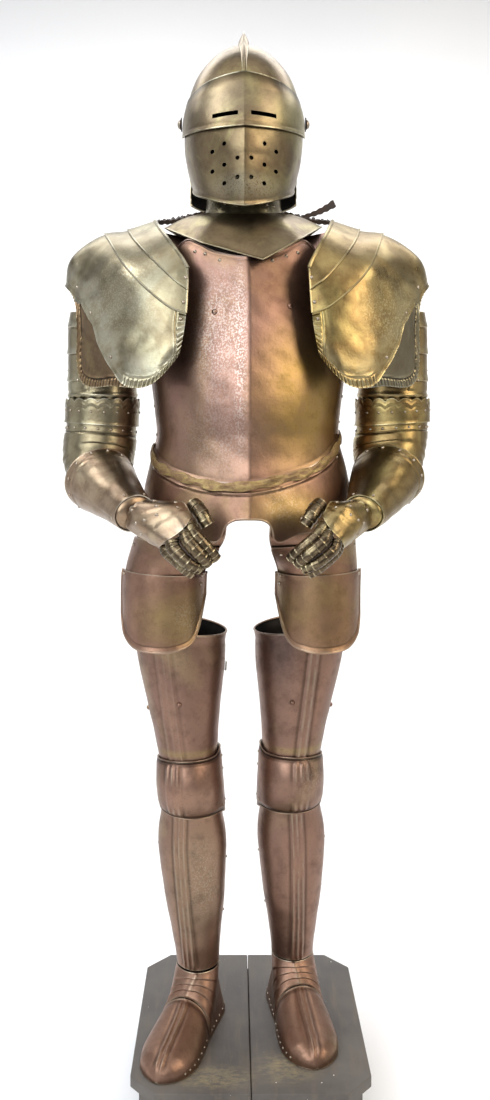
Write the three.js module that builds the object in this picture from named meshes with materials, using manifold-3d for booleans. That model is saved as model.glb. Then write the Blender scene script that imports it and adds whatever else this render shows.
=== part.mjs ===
// A full suit of plate armour standing on its wooden plinth, hollow, with the plain wooden armature inside
// that carries it. Units are millimetres, +Z is up, the suit faces -Y. The origin is on the plinth's
// underside, below the suit's middle plane. Heights in the tables are measured from the deck,
// which is the plinth's top.
import * as THREE from "three";
import Module from "manifold-3d";
import { mergeVertices } from "three/addons/utils/BufferGeometryUtils.js";

const wasm = await Module();
wasm.setup();

// ---- driving dimensions -----------------------------------------------------------------------------
const SHEET = 1.6; // thickness of every plate
const GAP = 0.6; // play between two plates that lie on each other
const LAYER = SHEET + GAP; // how far out the next plate lies
const PLINTH = {
  width: 410, depth: 410, height: 130, board: 20, overhang: 14, corner: 45, seam: 1.2, play: 0.3, middle: 6.5,
};
const DECK = PLINTH.height;

const root = new THREE.Group();
const suit = new THREE.Group(); // everything above the deck
suit.position.z = DECK;
root.add(suit);

const finish = (color, metalness, roughness) =>
  new THREE.MeshStandardMaterial({ color, metalness, roughness });
const BRONZED = finish(0x8a7a4e, 1, 0.35); // helmet, gorget, pauldrons and arms
const RUSSET = finish(0x85604f, 1, 0.45); // breast, fauld, tassets and legs
const BRIGHT = finish(0x9a9486, 1, 0.3); // fingers and rivet heads
const LEATHER = finish(0x2c2320, 0, 0.8);
const WOOD = finish(0x4e4a47, 0, 0.7);
const FRAME_WOOD = finish(0x3a2a20, 0, 0.8);

// ---- surfaces ---------------------------------------------------------------------------------------
const V = (x, y, z) => new THREE.Vector3(x, y, z);
const rad = THREE.MathUtils.degToRad;
const lerp = THREE.MathUtils.lerp;
const clamp = THREE.MathUtils.clamp;
const range = (n) => [...Array(n).keys()];

// The cubic through b and c, with a and d as their neighbours.
const cubic = (a, b, c, d, t) =>
  b + 0.5 * t * (c - a + t * (2 * a - 5 * b + 4 * c - d + t * (3 * (b - c) + d - a)));

// A row of numbers between the rows of a table, whose first column rises.
function between(table, key) {
  const last = table.length - 1;
  const i = clamp(table.findIndex((row) => row[0] > key) - 1, 0, last - 1);
  const at = key >= table[last][0] ? last - 1 : i;
  const t = clamp((key - table[at][0]) / (table[at + 1][0] - table[at][0]), 0, 1);
  const near = [at - 1, at, at + 1, at + 2].map((k) => table[clamp(k, 0, last)]);
  return table[at].map((_, k) => cubic(near[0][k], near[1][k], near[2][k], near[3][k], t));
}

// A tube's table has rows of [height, middle x, middle y, half width, depth to the front, depth to the back].
// Angle 0 is the front, and 90 degrees is the +X side.
function onTube(table, height, angle, keel = { rise: 0, spread: 1 }) {
  const [, x, y, half, front, back] = between(table, height);
  const c = Math.cos(rad(angle));
  const ridge = keel.rise * Math.max(0, 1 - Math.abs(angle) / keel.spread) ** 2;
  return V(x + half * Math.sin(rad(angle)), y - (c > 0 ? front : back) * c - ridge, height);
}

// A grid of points: columns from one edge to the other and rows upwards, each given by a function of 0 to 1.
const grid = (columns, rows, at) =>
  range(rows + 1).map((i) => range(columns + 1).map((j) => at(j / columns, i / rows)));

// A net of a few hand-set points, smoothed. net[row][column] holds [x, y, z].
function onNet(net, u, v) {
  const rows = net.map((row) => between(row.map((p, k) => [k, ...p]), u * (row.length - 1)).slice(1));
  return V(...between(rows.map((p, k) => [k, ...p]), v * (net.length - 1)).slice(1));
}

// The other side's grid: x is mirrored and the columns run the other way, so that it still faces out.
const mirrored = (points) => points.map((row) => row.map((p) => V(-p.x, p.y, p.z)).reverse());

// The wall on a grid, from lift to lift + thick outside it. A ring's last column is its first.
function wall(points, { lift = 0, thick = SHEET, ring = false } = {}) {
  const rows = points.length;
  const columns = points[0].length - (ring ? 1 : 0);
  const column = (j) => (ring ? (j + columns) % columns : clamp(j, 0, columns - 1));
  const pick = (i, j) => points[clamp(i, 0, rows - 1)][column(j)];
  const layers = [lift + thick, lift].map((distance) =>
    range(rows).flatMap((i) =>
      range(columns).map((j) => {
        const across = pick(i, j + 1).clone().sub(pick(i, j - 1));
        const up = pick(i + 1, j).clone().sub(pick(i - 1, j));
        return pick(i, j).clone().addScaledVector(across.cross(up).normalize(), distance);
      }),
    ),
  );
  const size = rows * columns;
  const id = (layer, i, j) => layer * size + i * columns + (j % columns);
  const faces = [];
  const quad = (a, b, c, d) => faces.push(a, b, c, a, c, d);
  const span = ring ? columns : columns - 1;
  for (let i = 0; i < rows - 1; i++)
    for (let j = 0; j < span; j++) {
      quad(id(0, i, j), id(0, i, j + 1), id(0, i + 1, j + 1), id(0, i + 1, j));
      quad(id(1, i, j), id(1, i + 1, j), id(1, i + 1, j + 1), id(1, i, j + 1));
    }
  for (let j = 0; j < span; j++) {
    quad(id(0, 0, j), id(1, 0, j), id(1, 0, j + 1), id(0, 0, j + 1));
    quad(id(0, rows - 1, j), id(0, rows - 1, j + 1), id(1, rows - 1, j + 1), id(1, rows - 1, j));
  }
  if (!ring)
    for (let i = 0; i < rows - 1; i++) {
      quad(id(0, i, 0), id(0, i + 1, 0), id(1, i + 1, 0), id(1, i, 0));
      quad(id(0, i, span), id(1, i, span), id(1, i + 1, span), id(0, i + 1, span));
    }
  return geometryOf(layers.flat(), faces);
}

function geometryOf(points, faces) {
  const geometry = new THREE.BufferGeometry().setFromPoints(points);
  geometry.setIndex(faces);
  return geometry;
}

// A closed bar through sections, each a ring of points in the same order, with flat ends.
function bar(sections) {
  const n = sections[0].length;
  const faces = [];
  sections.slice(1).forEach((_, k) =>
    range(n).forEach((j) => {
      const a = k * n + j;
      const b = k * n + ((j + 1) % n);
      faces.push(a, b, b + n, a, b + n, a + n);
    }),
  );
  const top = (sections.length - 1) * n;
  range(n - 2).forEach((j) => {
    faces.push(0, j + 2, j + 1);
    faces.push(top, top + j + 1, top + j + 2);
  });
  return geometryOf(sections.flat(), faces);
}

// ---- solids that are joined or cut ------------------------------------------------------------------
function solid(geometry) {
  const g = (geometry.index ? geometry.toNonIndexed() : geometry).clone();
  for (const name of Object.keys(g.attributes)) if (name !== "position") g.deleteAttribute(name);
  const merged = mergeVertices(g, 1e-3);
  const triVerts = new Uint32Array(merged.index.array);
  const vertProperties = merged.attributes.position.array;
  return new wasm.Manifold(new wasm.Mesh({ numProp: 3, vertProperties, triVerts }));
}

function unsolid(made) {
  const mesh = made.getMesh();
  const n = mesh.numProp;
  const places = range(mesh.numVert).map((i) => V(...mesh.vertProperties.subarray(i * n, i * n + 3)));
  return geometryOf(places, [...mesh.triVerts]);
}

const cut = (geometry, cutters) =>
  unsolid(cutters.reduce((made, cutter) => made.subtract(solid(cutter)), solid(geometry)));
const join = (geometries) => unsolid(geometries.map(solid).reduce((a, b) => a.add(b)));
const box = (w, d, h, x, y, z) => new THREE.BoxGeometry(w, d, h).translate(x, y, z);

// The suit leans a little to one side on its way up: [height, sideways shift].
const LEAN = [
  [0, 0], [90, 0], [460, -10], [730, -10], [840, -9], [940, 2], [1000, 3], [1350, 3], [1450, -3], [1480, -4],
  [1900, -4],
];

function lean(geometry) {
  const places = geometry.getAttribute("position");
  for (const k of range(places.count)) places.setX(k, places.getX(k) + between(LEAN, places.getZ(k))[1]);
  return geometry;
}

function add(name, geometry, material, parent = suit) {
  const mesh = new THREE.Mesh(parent === root ? geometry : lean(geometry), material);
  mesh.name = name;
  parent.add(mesh);
  return mesh;
}

const SIDES = [
  { name: "left", sign: -1 },
  { name: "right", sign: 1 },
];
const sided = (sign, points) => (sign < 0 ? mirrored(points) : points);

// ---- plinth: a box with a deck of two boards whose corners are cut off ------------------------------
function deckBoard(sign) {
  const { width, depth, board, corner, seam } = PLINTH;
  const outline = new THREE.Shape(
    [
      [seam / 2, -depth / 2],
      [width / 2 - corner, -depth / 2],
      [width / 2, corner - depth / 2],
      [width / 2, depth / 2 - corner],
      [width / 2 - corner, depth / 2],
      [seam / 2, depth / 2],
    ].map(([x, y]) => new THREE.Vector2(sign * x, y)),
  );
  const shape = new THREE.ExtrudeGeometry(outline, { depth: board, bevelEnabled: false });
  return shape.translate(PLINTH.middle, 0, DECK - board);
}

// The box below has its corners cut off too, a little inside the deck's.
function plinthBox() {
  const { width, depth, overhang, corner, board, play, middle } = PLINTH;
  const x = width / 2 - overhang;
  const y = depth / 2 - overhang;
  const c = corner - overhang / 2;
  const right = [[x - c, -y], [x, c - y], [x, y - c], [x - c, y]];
  const outline = [...right, ...right.map(([px, py]) => [-px, -py])];
  const shape = new THREE.Shape(outline.map((p) => new THREE.Vector2(...p)));
  const height = DECK - board - play;
  return new THREE.ExtrudeGeometry(shape, { depth: height, bevelEnabled: false }).translate(middle, 0, 0);
}

add("plinth_box", plinthBox(), WOOD, root);
add("deck_board_left", deckBoard(-1), WOOD, root);
add("deck_board_right", deckBoard(1), WOOD, root);

// ---- helmet: a skull in two halves joined along the comb, and a visor and ventail that lift together 
const HEAD = { y: 10, z: 1670, half: 105, radius: 131, nape: 124, rim: 1525, crown: 144 };
const COMB = {
  front: 22, back: 168, low: 3, high: 20, foot: 8, base: 19, top: 3, start: 55, peak: 79, clear: 2.6,
};

// How much of its full width and depth the skull keeps at a height above the pivots.
// It ends in a blunt point.
const domeShare = (up) => (1 - Math.min(1, up / HEAD.crown) ** 2.2) ** 0.645;

function skullPoint(height, angle) {
  const up = height - HEAD.z;
  const share = up > 0 ? domeShare(up) : 1;
  const down = Math.max(0, -up) / (HEAD.z - HEAD.rim);
  const half = HEAD.half * share - 4 * down;
  const back = HEAD.nape * share - 14 * Math.sin(Math.PI * 0.75 * down) ** 2;
  const c = Math.cos(rad(angle));
  return V(half * Math.sin(rad(angle)), HEAD.y - (c > 0 ? HEAD.radius * share : back) * c, height);
}

// The face opening's edge: how far round from the front the skull starts, at each height.
const FACE_EDGE = [[1525, 103], [1600, 99], [1640, 90], [1670, 76], [1689, 60], [1690, 0.4], [1820, 0.4]];
const SKULL_ROWS = [1525, 1575, 1630, 1670, 1688.5, 1690.5, 1725, 1755, 1782, 1800, 1811];

const skullHalf = SKULL_ROWS.map((height) => {
  const i = Math.max(0, FACE_EDGE.findIndex((row) => row[0] > height) - 1);
  const [near, next] = [FACE_EDGE[i], FACE_EDGE[i + 1]];
  const start = lerp(near[1], next[1], (height - near[0]) / (next[0] - near[0]));
  return range(8).map((j) => skullPoint(height, lerp(start, 179.6, j / 7)));
});
for (const { name, sign } of SIDES) add(`helmet_skull_${name}`, wall(sided(sign, skullHalf)), BRONZED);

// How far the comb's foot lies from the pivots' axis: just outside the skull, found by halving.
function combFoot(angle) {
  const deep = angle < 90 ? HEAD.radius : HEAD.nape;
  let [inside, outside] = [0, HEAD.crown + 20];
  for (let k = 0; k < 30; k++) {
    const reach = (inside + outside) / 2;
    const skull = deep * domeShare(reach * Math.sin(rad(angle)));
    if (reach * Math.abs(Math.cos(rad(angle))) < skull) inside = reach;
    else outside = reach;
  }
  return inside + SHEET + COMB.clear;
}

// The comb is a blade that starts low at the brow, rises past the visor's reach and runs down to the nape.
function comb() {
  const sections = range(13).map((k) => {
    const angle = lerp(COMB.front, COMB.back, k / 12);
    const rise = THREE.MathUtils.smoothstep(angle, COMB.start, COMB.peak);
    const creep = 4 * THREE.MathUtils.smoothstep(angle, COMB.front, COMB.start);
    const fall = 1 - 0.8 * THREE.MathUtils.smoothstep(angle, 100, COMB.back);
    const height = Math.max(1.5, (COMB.low + creep + (COMB.high - COMB.low - creep) * rise) * fall);
    const width = lerp(COMB.foot, COMB.base, THREE.MathUtils.smoothstep(angle, COMB.front, COMB.peak));
    const foot = combFoot(angle);
    const at = (x, r) => V(x, HEAD.y - r * Math.cos(rad(angle)), HEAD.z + r * Math.sin(rad(angle)));
    const top = Math.min(COMB.top, width) / 2;
    return [at(-width / 2, foot), at(-top, foot + height), at(top, foot + height), at(width / 2, foot)];
  });
  return bar(sections);
}
add("helmet_comb", comb(), BRONZED);

const VISOR = [
  [1605, 0, HEAD.y, 113, 152, 60],
  [1640, 0, HEAD.y, 113.5, 148, 60],
  [1665, 0, HEAD.y, 112.6, 142.5, 60],
  [1690, 0, HEAD.y, 110, 136.5, 60],
  [1725, 0, HEAD.y, 104, 130, 60],
];
const VENTAIL = [
  [1485, 0, HEAD.y, 78, 114, 60],
  [1535, 0, HEAD.y, 90, 128, 60],
  [1575, 0, HEAD.y, 101, 138, 60],
  [1600, 0, HEAD.y, 106, 143, 60],
  [1627, 0, HEAD.y, 109, 143, 60],
  [1655, 0, HEAD.y, 108.8, 139, 60],
  [1690, 0, HEAD.y, 107, 136, 60],
];
const KEEL = { rise: 9, spread: 34 };
const SLIT = { length: 41, height: 8, inner: 9, z: 1643 };
const BREATHS = [
  [33.5, 1588], [54, 1580], [11, 1562], [33.5, 1554], [54, 1547], [11, 1531], [33.5, 1524],
];
const BREATH = 7;

// 0 in the middle and 1 at both edges.
const bow = (u, power) => Math.abs(2 * u - 1) ** power;
const visorPoints = grid(12, 3, (u, v) => {
  const low = lerp(1618, 1650, bow(u, 2));
  const high = lerp(1719, 1690, bow(u, 1.7));
  return onTube(VISOR, lerp(low, high, v), lerp(-100, 100, u), KEEL);
});
const ventailPoints = grid(12, 4, (u, v) => {
  const low = lerp(1490, 1545, bow(u, 1.8));
  const high = lerp(1631, 1680, bow(u, 2.4));
  return onTube(VENTAIL, lerp(low, high, v), lerp(-96, 96, u), KEEL);
});
const slits = SIDES.map(({ sign }) =>
  box(SLIT.length, 120, SLIT.height, sign * (SLIT.inner + SLIT.length / 2), -130, SLIT.z),
);
const breath = (x, z) => new THREE.CylinderGeometry(BREATH / 2, BREATH / 2, 120, 6).translate(x, -125, z);
const breaths = SIDES.flatMap(({ sign }) => BREATHS.map(([x, z]) => breath(sign * x, z)));
add("helmet_visor", cut(wall(visorPoints), slits), BRONZED);
add("helmet_ventail", cut(wall(ventailPoints), breaths), BRONZED);

// A pivot is the domed head of the bolt that the visor, the ventail and the skull share.
const PIVOT = {
  start: 115.8,
  profile: [[0, 0], [13, 0], [13, 1.8], [9, 2.4], [8, 5.5], [4.5, 7.8], [0, 8.3]],
};
for (const { name, sign } of SIDES) {
  const dome = new THREE.LatheGeometry(PIVOT.profile.map((p) => new THREE.Vector2(...p)), 10);
  const place = dome.rotateZ((-sign * Math.PI) / 2).translate(sign * PIVOT.start, HEAD.y, HEAD.z);
  add(`helmet_pivot_${name}`, place, BRIGHT);
}

// ---- gorget: a collar and a broad plate that comes to a point on the breast -------------------------
const COLLAR = [
  [1470, 0, 12, 80, 88, 80],
  [1490, 0, 12, 72, 79, 73],
  [1520, 0, 12, 68, 73, 70],
  [1556, 0, 12, 70, 75, 72],
];
const collarPoints = grid(12, 3, (u, v) => onTube(COLLAR, lerp(1476, 1552, v), lerp(-180, 180, u)));
add("gorget_collar", wall(collarPoints, { ring: true }), BRONZED);

// The plate's edge round the shoulders: from the back by one side, the front point and the other side.
const GORGET_EDGE = [
  [0, 142, 1424], [-80, 118, 1446], [-132, 62, 1474], [-146, -14, 1470], [-80, -116, 1424],
  [26, -168, 1384],
  [96, -112, 1430], [144, -14, 1472], [132, 62, 1474], [80, 118, 1446], [0, 142, 1424],
];

// The plate rises to the collar, and stands higher on it at the sides than in front.
const COLLAR_FOOT = { front: 1484, side: 16, clear: 5.2 };
const gorgetPoints = grid(20, 2, (u, v) => {
  const a = rad(lerp(-180, 180, u));
  const inner = onTube(COLLAR, COLLAR_FOOT.front + COLLAR_FOOT.side * Math.sin(a) ** 2, lerp(-180, 180, u));
  inner.add(V(Math.sin(a), -Math.cos(a), 0).multiplyScalar(COLLAR_FOOT.clear));
  const place = V(...GORGET_EDGE[Math.floor(u * 10 + 1e-6)]);
  const next = GORGET_EDGE[Math.min(10, Math.floor(u * 10 + 1e-6) + 1)];
  place.lerp(V(...next), u * 10 - Math.floor(u * 10 + 1e-6));
  place.lerp(inner, v);
  place.z += 5 * Math.sin(Math.PI * v) - 2 * v;
  return place;
});
add("gorget_plate", wall(gorgetPoints, { ring: true }), BRONZED);

// ---- trunk: breastplate, backplate, belt and fauld share one tube -----------------------------------
const TRUNK = [
  [895, 0, 0, 198, 182, 134],
  [940, 0, 0, 194, 178, 130],
  [985, 0, 0, 186, 170, 126],
  [1035, 0, 0, 175, 160, 118],
  [1083, 0, 0, 163, 160, 110],
  [1130, 0, 0, 166, 166, 116],
  [1200, 0, 0, 174, 164, 126],
  [1280, 0, 0, 176, 152, 130],
  [1350, 0, 0, 168, 140, 126],
  [1410, 0, 0, 150, 126, 112],
  [1460, 0, 0, 130, 112, 100],
];
const TRUNK_KEEL = { rise: 12, spread: 26 };
const FRONT_COLUMNS = [-88, -80, -68, -54, -40, -26, -11, 0, 11, 26, 40, 54, 68, 80, 88];
const BACK_COLUMNS = [84, 90, 104, 122, 141, 160, 180, 200, 219, 238, 256, 270, 276];
const LAPPED = 4.5; // how far the front plates stand outside the back ones
const waist = (angle) => 1078 - 74 * Math.max(0, Math.cos(rad(angle))) ** 1.3 + 14 * Math.sin(rad(angle));
const BREAST_TOP = [[0, 1392], [20, 1404], [36, 1424], [47, 1430], [58, 1404], [70, 1330], [88, 1272]];
const BACK_TOP = [[0, 1428], [25, 1440], [50, 1442], [62, 1404], [76, 1326], [100, 1268]];
const FAULD_HEM = [[0, 947], [11, 927], [26, 920], [60, 921], [88, 924]];

// A plate on a tube: chosen columns, and rows between a lower and an upper edge that follow the angle.
const plate = (table, columns, rows, low, high, keel) =>
  range(rows + 1).map((i) => columns.map((a) => onTube(table, lerp(low(a), high(a), i / rows), a, keel)));
const edge = (table) => (angle) => between(table, Math.abs(angle))[1];
const fromBack = (angle) => Math.abs(angle - 180);

const breast = plate(TRUNK, FRONT_COLUMNS, 5, (a) => waist(a) + 1.5, edge(BREAST_TOP), TRUNK_KEEL);
const back = plate(TRUNK, BACK_COLUMNS, 4, (a) => waist(a) + 1.5, (a) => edge(BACK_TOP)(fromBack(a)));
const fauldFront = plate(TRUNK, FRONT_COLUMNS, 3, edge(FAULD_HEM), (a) => waist(a) - 1.5, TRUNK_KEEL);
const fauldBack = plate(TRUNK, BACK_COLUMNS, 3, () => 925, (a) => waist(a) - 1.5);
const beltColumns = [...FRONT_COLUMNS, ...BACK_COLUMNS.slice(1, -1)];
const belt = plate(TRUNK, beltColumns, 1, (a) => waist(a) - 9, (a) => waist(a) + 9, TRUNK_KEEL);
add("breastplate", wall(breast, { lift: LAPPED }), RUSSET);
add("backplate", wall(back), RUSSET);
add("fauld_front", wall(fauldFront, { lift: LAPPED }), RUSSET);
add("fauld_back", wall(fauldBack), RUSSET);
add("waist_belt", wall(belt, { lift: LAPPED + LAYER + 3, ring: true }), LEATHER);

// ---- tassets: three lames a side hang from the fauld over the thighs --------------------------------
const TASSET = { middle: 139, half: 67, depth: 78, y: -44, top: 936, steps: [896, 840], lap: 5 };
const TASSET_COLUMNS = [11, 26, 40, 54, 68, 80];
const TASSET_HEM = [[0, 800], [0.2, 730], [0.38, 713], [0.56, 711], [0.74, 716], [0.9, 735], [1, 764]];

// The lames leave the fauld's curve at the top and take the round of the thigh lower down.
function tassetPoint(height, angle) {
  const onFauld = onTube(TRUNK, Math.max(height, 895), angle, TRUNK_KEEL).setZ(height);
  const a = rad(lerp(-80, 80, (angle - 11) / 69));
  const x = TASSET.middle + TASSET.half * Math.sin(a);
  const onThigh = V(x, TASSET.y - TASSET.depth * Math.cos(a), height);
  return onFauld.lerp(onThigh, 1 - THREE.MathUtils.smoothstep(height, 830, 925));
}

const tassetHem = (angle) => between(TASSET_HEM, (angle - 11) / 69)[1];
const { top, steps, lap } = TASSET;
const TASSET_LAMES = [
  { name: "upper", lift: 0.5, edges: [steps[0] - lap, steps[0] + lap, top] },
  {
    name: "middle",
    lift: LAPPED - 0.5,
    edges: [steps[1] - lap, steps[1] + lap, steps[0] - lap, steps[0] + lap],
  },
  {
    name: "lower",
    lift: 2 * LAPPED - 1.5,
    edges: [tassetHem, (a) => Math.max(770, tassetHem(a) + 8), steps[1] - lap, steps[1] + lap],
  },
];
for (const { name, sign } of SIDES)
  for (const lame of TASSET_LAMES) {
    const height = (level, angle) => (typeof level === "function" ? level(angle) : level);
    const points = lame.edges.map((level) => TASSET_COLUMNS.map((a) => tassetPoint(height(level, a), a)));
    add(`tasset_${name}_${lame.name}`, wall(sided(sign, points), { lift: lame.lift }), RUSSET);
  }

// ---- legs: cuisse, poleyn with its wing, greave, and a sabaton of two pieces ------------------------
const LEG = [
  [70, 89, 22, 41, 44, 46],
  [105, 89, 20, 38, 40, 43],
  [150, 90, 14, 42, 44, 51],
  [230, 91, 6, 53, 50, 67],
  [310, 92, 0, 60, 54, 73],
  [350, 92, -2, 61, 56, 71],
  [400, 92, -4, 54, 55, 60],
  [459, 94, -8, 49, 57, 54],
  [520, 98, -6, 55, 61, 59],
  [600, 104, -2, 67, 72, 70],
  [671, 109, 2, 79, 80, 78],
  [735, 114, 4, 84, 84, 80],
  [770, 116, 4, 86, 86, 82],
];
const KNEE = { z: 452, reach: 52, bulge: 15, clear: 4.5 };
const ring = (table, low, high, columns, rows) =>
  grid(columns, rows, (u, v) => {
    const angle = lerp(-180, 180, u);
    return onTube(table, lerp(low(angle), high(angle), v), angle);
  });

// The knee cap stands off the leg and swells most over the joint.
function kneePoint(u, v) {
  const angle = lerp(-150, 112, u);
  const inner = THREE.MathUtils.smoothstep(-angle, 55, 100) * THREE.MathUtils.smoothstep(150 + angle, 0, 30);
  const height = KNEE.z + lerp(-1, 1, v) * (KNEE.reach - 14 * bow(u, 2) + 12 * inner);
  const p = onTube(LEG, height, angle);
  const centre = V(92, -8, height);
  const out = p.clone().sub(centre).normalize();
  const round = Math.sin(Math.PI * v) ** 0.8 * Math.max(0, Math.cos(rad(angle * 0.8)));
  return p.addScaledVector(out, KNEE.clear + KNEE.bulge * round + 2 * inner);
}

// One leg stands a little in front of the other, more so towards the foot.
const STRIDE = { left: -20, right: 18 };
const stride = (name, points) =>
  points.map((row) => row.map((p) => p.clone().setY(p.y + STRIDE[name] * Math.max(0, 1 - p.z / 1100))));

for (const { name, sign } of SIDES) {
  const cuisse = ring(LEG, () => 480, (a) => 734 + 12 * Math.sin(rad(a)), 12, 4);
  const greave = ring(LEG, () => 108, () => 424, 12, 5);
  const placed = (points) => stride(name, sided(sign, points));
  add(`cuisse_${name}`, wall(placed(cuisse), { ring: true }), RUSSET);
  add(`poleyn_${name}`, wall(placed(grid(10, 4, kneePoint))), RUSSET);
  add(`greave_${name}`, wall(placed(greave), { ring: true }), RUSSET);
}

// A sabaton lies along its own line: [distance before the ankle's middle, half width, height].
const FOOT = [
  [60, 46, 66], [100, 50, 51], [140, 50, 40], [168, 42, 33], [184, 29, 26], [192, 17, 17], [196, 7, 8],
];
const TOE_ROWS = [195, 190, 180, 162, 134, 100, 66];
const FEET = {
  left: { x: 91, y: 6, splay: 18 },
  right: { x: 90, y: 48, splay: 9 },
};
const SHOE = { sole: 0.8, half: 46, front: 62, heel: 68, arch: 66, top: 104 };

// From the foot's own line to the suit's: the toes point forward and outward.
function onFoot(name, sideways, forward, height) {
  const turn = rad(FEET[name].splay);
  return V(
    FEET[name].x + sideways * Math.cos(turn) + forward * Math.sin(turn),
    FEET[name].y + sideways * Math.sin(turn) - forward * Math.cos(turn),
    height,
  );
}

function toePoint(name, forward, angle) {
  const [, half, height] = between(FOOT, forward);
  const arch = Math.max(0, Math.cos(rad(angle))) ** 0.75;
  return onFoot(name, half * Math.sin(rad(angle)), forward, SHOE.sole + height * arch);
}

// The shoe's rear is a short tube from the sole to the ankle, arched in front over the toe cap.
function shoePoint(name, angle, v) {
  const turn = Math.min(1, Math.abs(angle) / 60);
  const past = Math.max(0, (Math.abs(angle) - 60) / 120);
  const forward = (SHOE.front - SHOE.heel) / 2 + ((SHOE.front + SHOE.heel) / 2) * Math.cos(Math.PI * past);
  const round = Math.sqrt(Math.max(0, 1 - (Math.max(0, -forward - 12) / (SHOE.heel - 12)) ** 2));
  const sideways = Math.sign(angle) * SHOE.half * Math.sin((turn * Math.PI) / 2) * round;
  const arch = SHOE.arch * Math.max(0, Math.cos((turn * Math.PI) / 2)) ** 0.75;
  const bottom = onFoot(name, sideways, forward, SHOE.sole + arch);
  const upAngle = Math.sign(angle) * (past > 0 ? lerp(72, 180, past) : 72 * turn);
  const collar = onTube(LEG, SHOE.top, upAngle);
  collar.y += STRIDE[name];
  return bottom.lerp(collar, v ** 0.85);
}

for (const { name, sign } of SIDES) {
  const toe = TOE_ROWS.map((forward) => range(7).map((j) => toePoint(name, forward, lerp(-90, 90, j / 6))));
  const shoe = grid(12, 3, (u, v) => shoePoint(name, lerp(-180, 180, u), v));
  add(`sabaton_toe_${name}`, wall(sided(sign, toe)), RUSSET);
  add(`sabaton_shoe_${name}`, wall(sided(sign, shoe), { ring: true }), RUSSET);
}

// ---- arms: one bent tube from the shoulder to the wrist, covered by overlapping plates --------------
// [distance, x, y, z, half width, half depth, turn of the width's direction]
const ARM = [
  [0, 266, 2, 1375, 46, 44, 0],
  [70, 272, 4, 1300, 59, 52, 0],
  [150, 273, 8, 1220, 61, 60, 0],
  [220, 272, 10, 1150, 62, 62, 0],
  [280, 275, 11, 1090, 61, 60, -3],
  [325, 278, 2, 1046, 57, 56, -10],
  [375, 268, -30, 1012, 53, 50, -20],
  [430, 245, -78, 992, 47, 45, -26],
  [500, 215, -134, 970, 38, 35, -27],
  [565, 186, -184, 953, 31, 26, -27],
];

// Angle 0 is the front of the upper arm and the top of the forearm, and 90 is the outer side.
function armPoint(distance, angle, grow = 0) {
  const at = between(ARM, distance);
  const near = between(ARM, Math.max(0, distance - 2));
  const next = between(ARM, Math.min(565, distance + 2));
  const along = V(next[1] - near[1], next[2] - near[2], next[3] - near[3]).normalize();
  const side = V(Math.cos(rad(at[6])), Math.sin(rad(at[6])), 0);
  side.addScaledVector(along, -side.dot(along)).normalize();
  const over = along.clone().cross(side);
  const p = V(at[1], at[2], at[3]);
  p.addScaledVector(side, (at[4] + grow) * Math.sin(rad(angle)));
  return p.addScaledVector(over, (at[5] + grow) * Math.cos(rad(angle)));
}

// Each piece runs from far to near, so that its rows rise towards the shoulder.
const armGrid = (columns, rows, span, from, to, grow = () => 0) =>
  grid(columns, rows, (u, v) => {
    const distance = lerp(span.end, span.start, v);
    const angle = lerp(from, to, u);
    return armPoint(distance, angle, grow(distance, angle));
  });
const CUFF = { start: 388, end: 548, bell: 15 };
const bell = (distance, angle) =>
  3 + CUFF.bell * (0.55 + 0.45 * Math.sin(rad(angle))) * Math.max(0, 1 - (distance - CUFF.start) / 110) ** 1.4;
const ELBOW = { start: 251, end: 394, stand: 2.6, foot: 0.8, swell: 5, plain: 0.12 };
function elbowStand(distance) {
  const share = (distance - ELBOW.start) / (ELBOW.end - ELBOW.start);
  const swollen = clamp((share - ELBOW.plain) / (1 - 2 * ELBOW.plain), 0, 1);
  return lerp(ELBOW.stand, ELBOW.foot, share) + ELBOW.swell * Math.sin(Math.PI * swollen);
}
const UPPER_ARM = { start: 60, end: 246 };
const ARM_LAME = { start: 214, end: 262, stand: 6 };

// The right elbow is carried closer to the body and a little higher than the left one.
const TUCK = { left: V(0, 0, 0), right: V(-14, 0, 8) };
const { smoothstep } = THREE.MathUtils;
const tuckShare = (p) => smoothstep(-p.z, -1130, -1030) * (1 - smoothstep(-p.y, 40, 170));
const tucked = (name, points) =>
  points.map((line) => line.map((p) => p.clone().addScaledVector(TUCK[name], tuckShare(p))));

for (const { name, sign } of SIDES) {
  const upper = armGrid(12, 3, UPPER_ARM, -180, 180);
  const lame = armGrid(12, 2, ARM_LAME, -180, 180, () => ARM_LAME.stand);
  const elbow = armGrid(12, 4, ELBOW, -180, 180, elbowStand);
  const gauntlet = armGrid(12, 3, CUFF, -180, 180, bell);
  add(`upper_arm_${name}`, wall(sided(sign, tucked(name, upper)), { ring: true }), BRONZED);
  add(`arm_lame_${name}`, wall(sided(sign, tucked(name, lame)), { ring: true }), BRONZED);
  add(`couter_${name}`, wall(sided(sign, tucked(name, elbow)), { ring: true }), BRONZED);
  add(`gauntlet_cuff_${name}`, wall(sided(sign, tucked(name, gauntlet)), { ring: true }), BRONZED);
}

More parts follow.
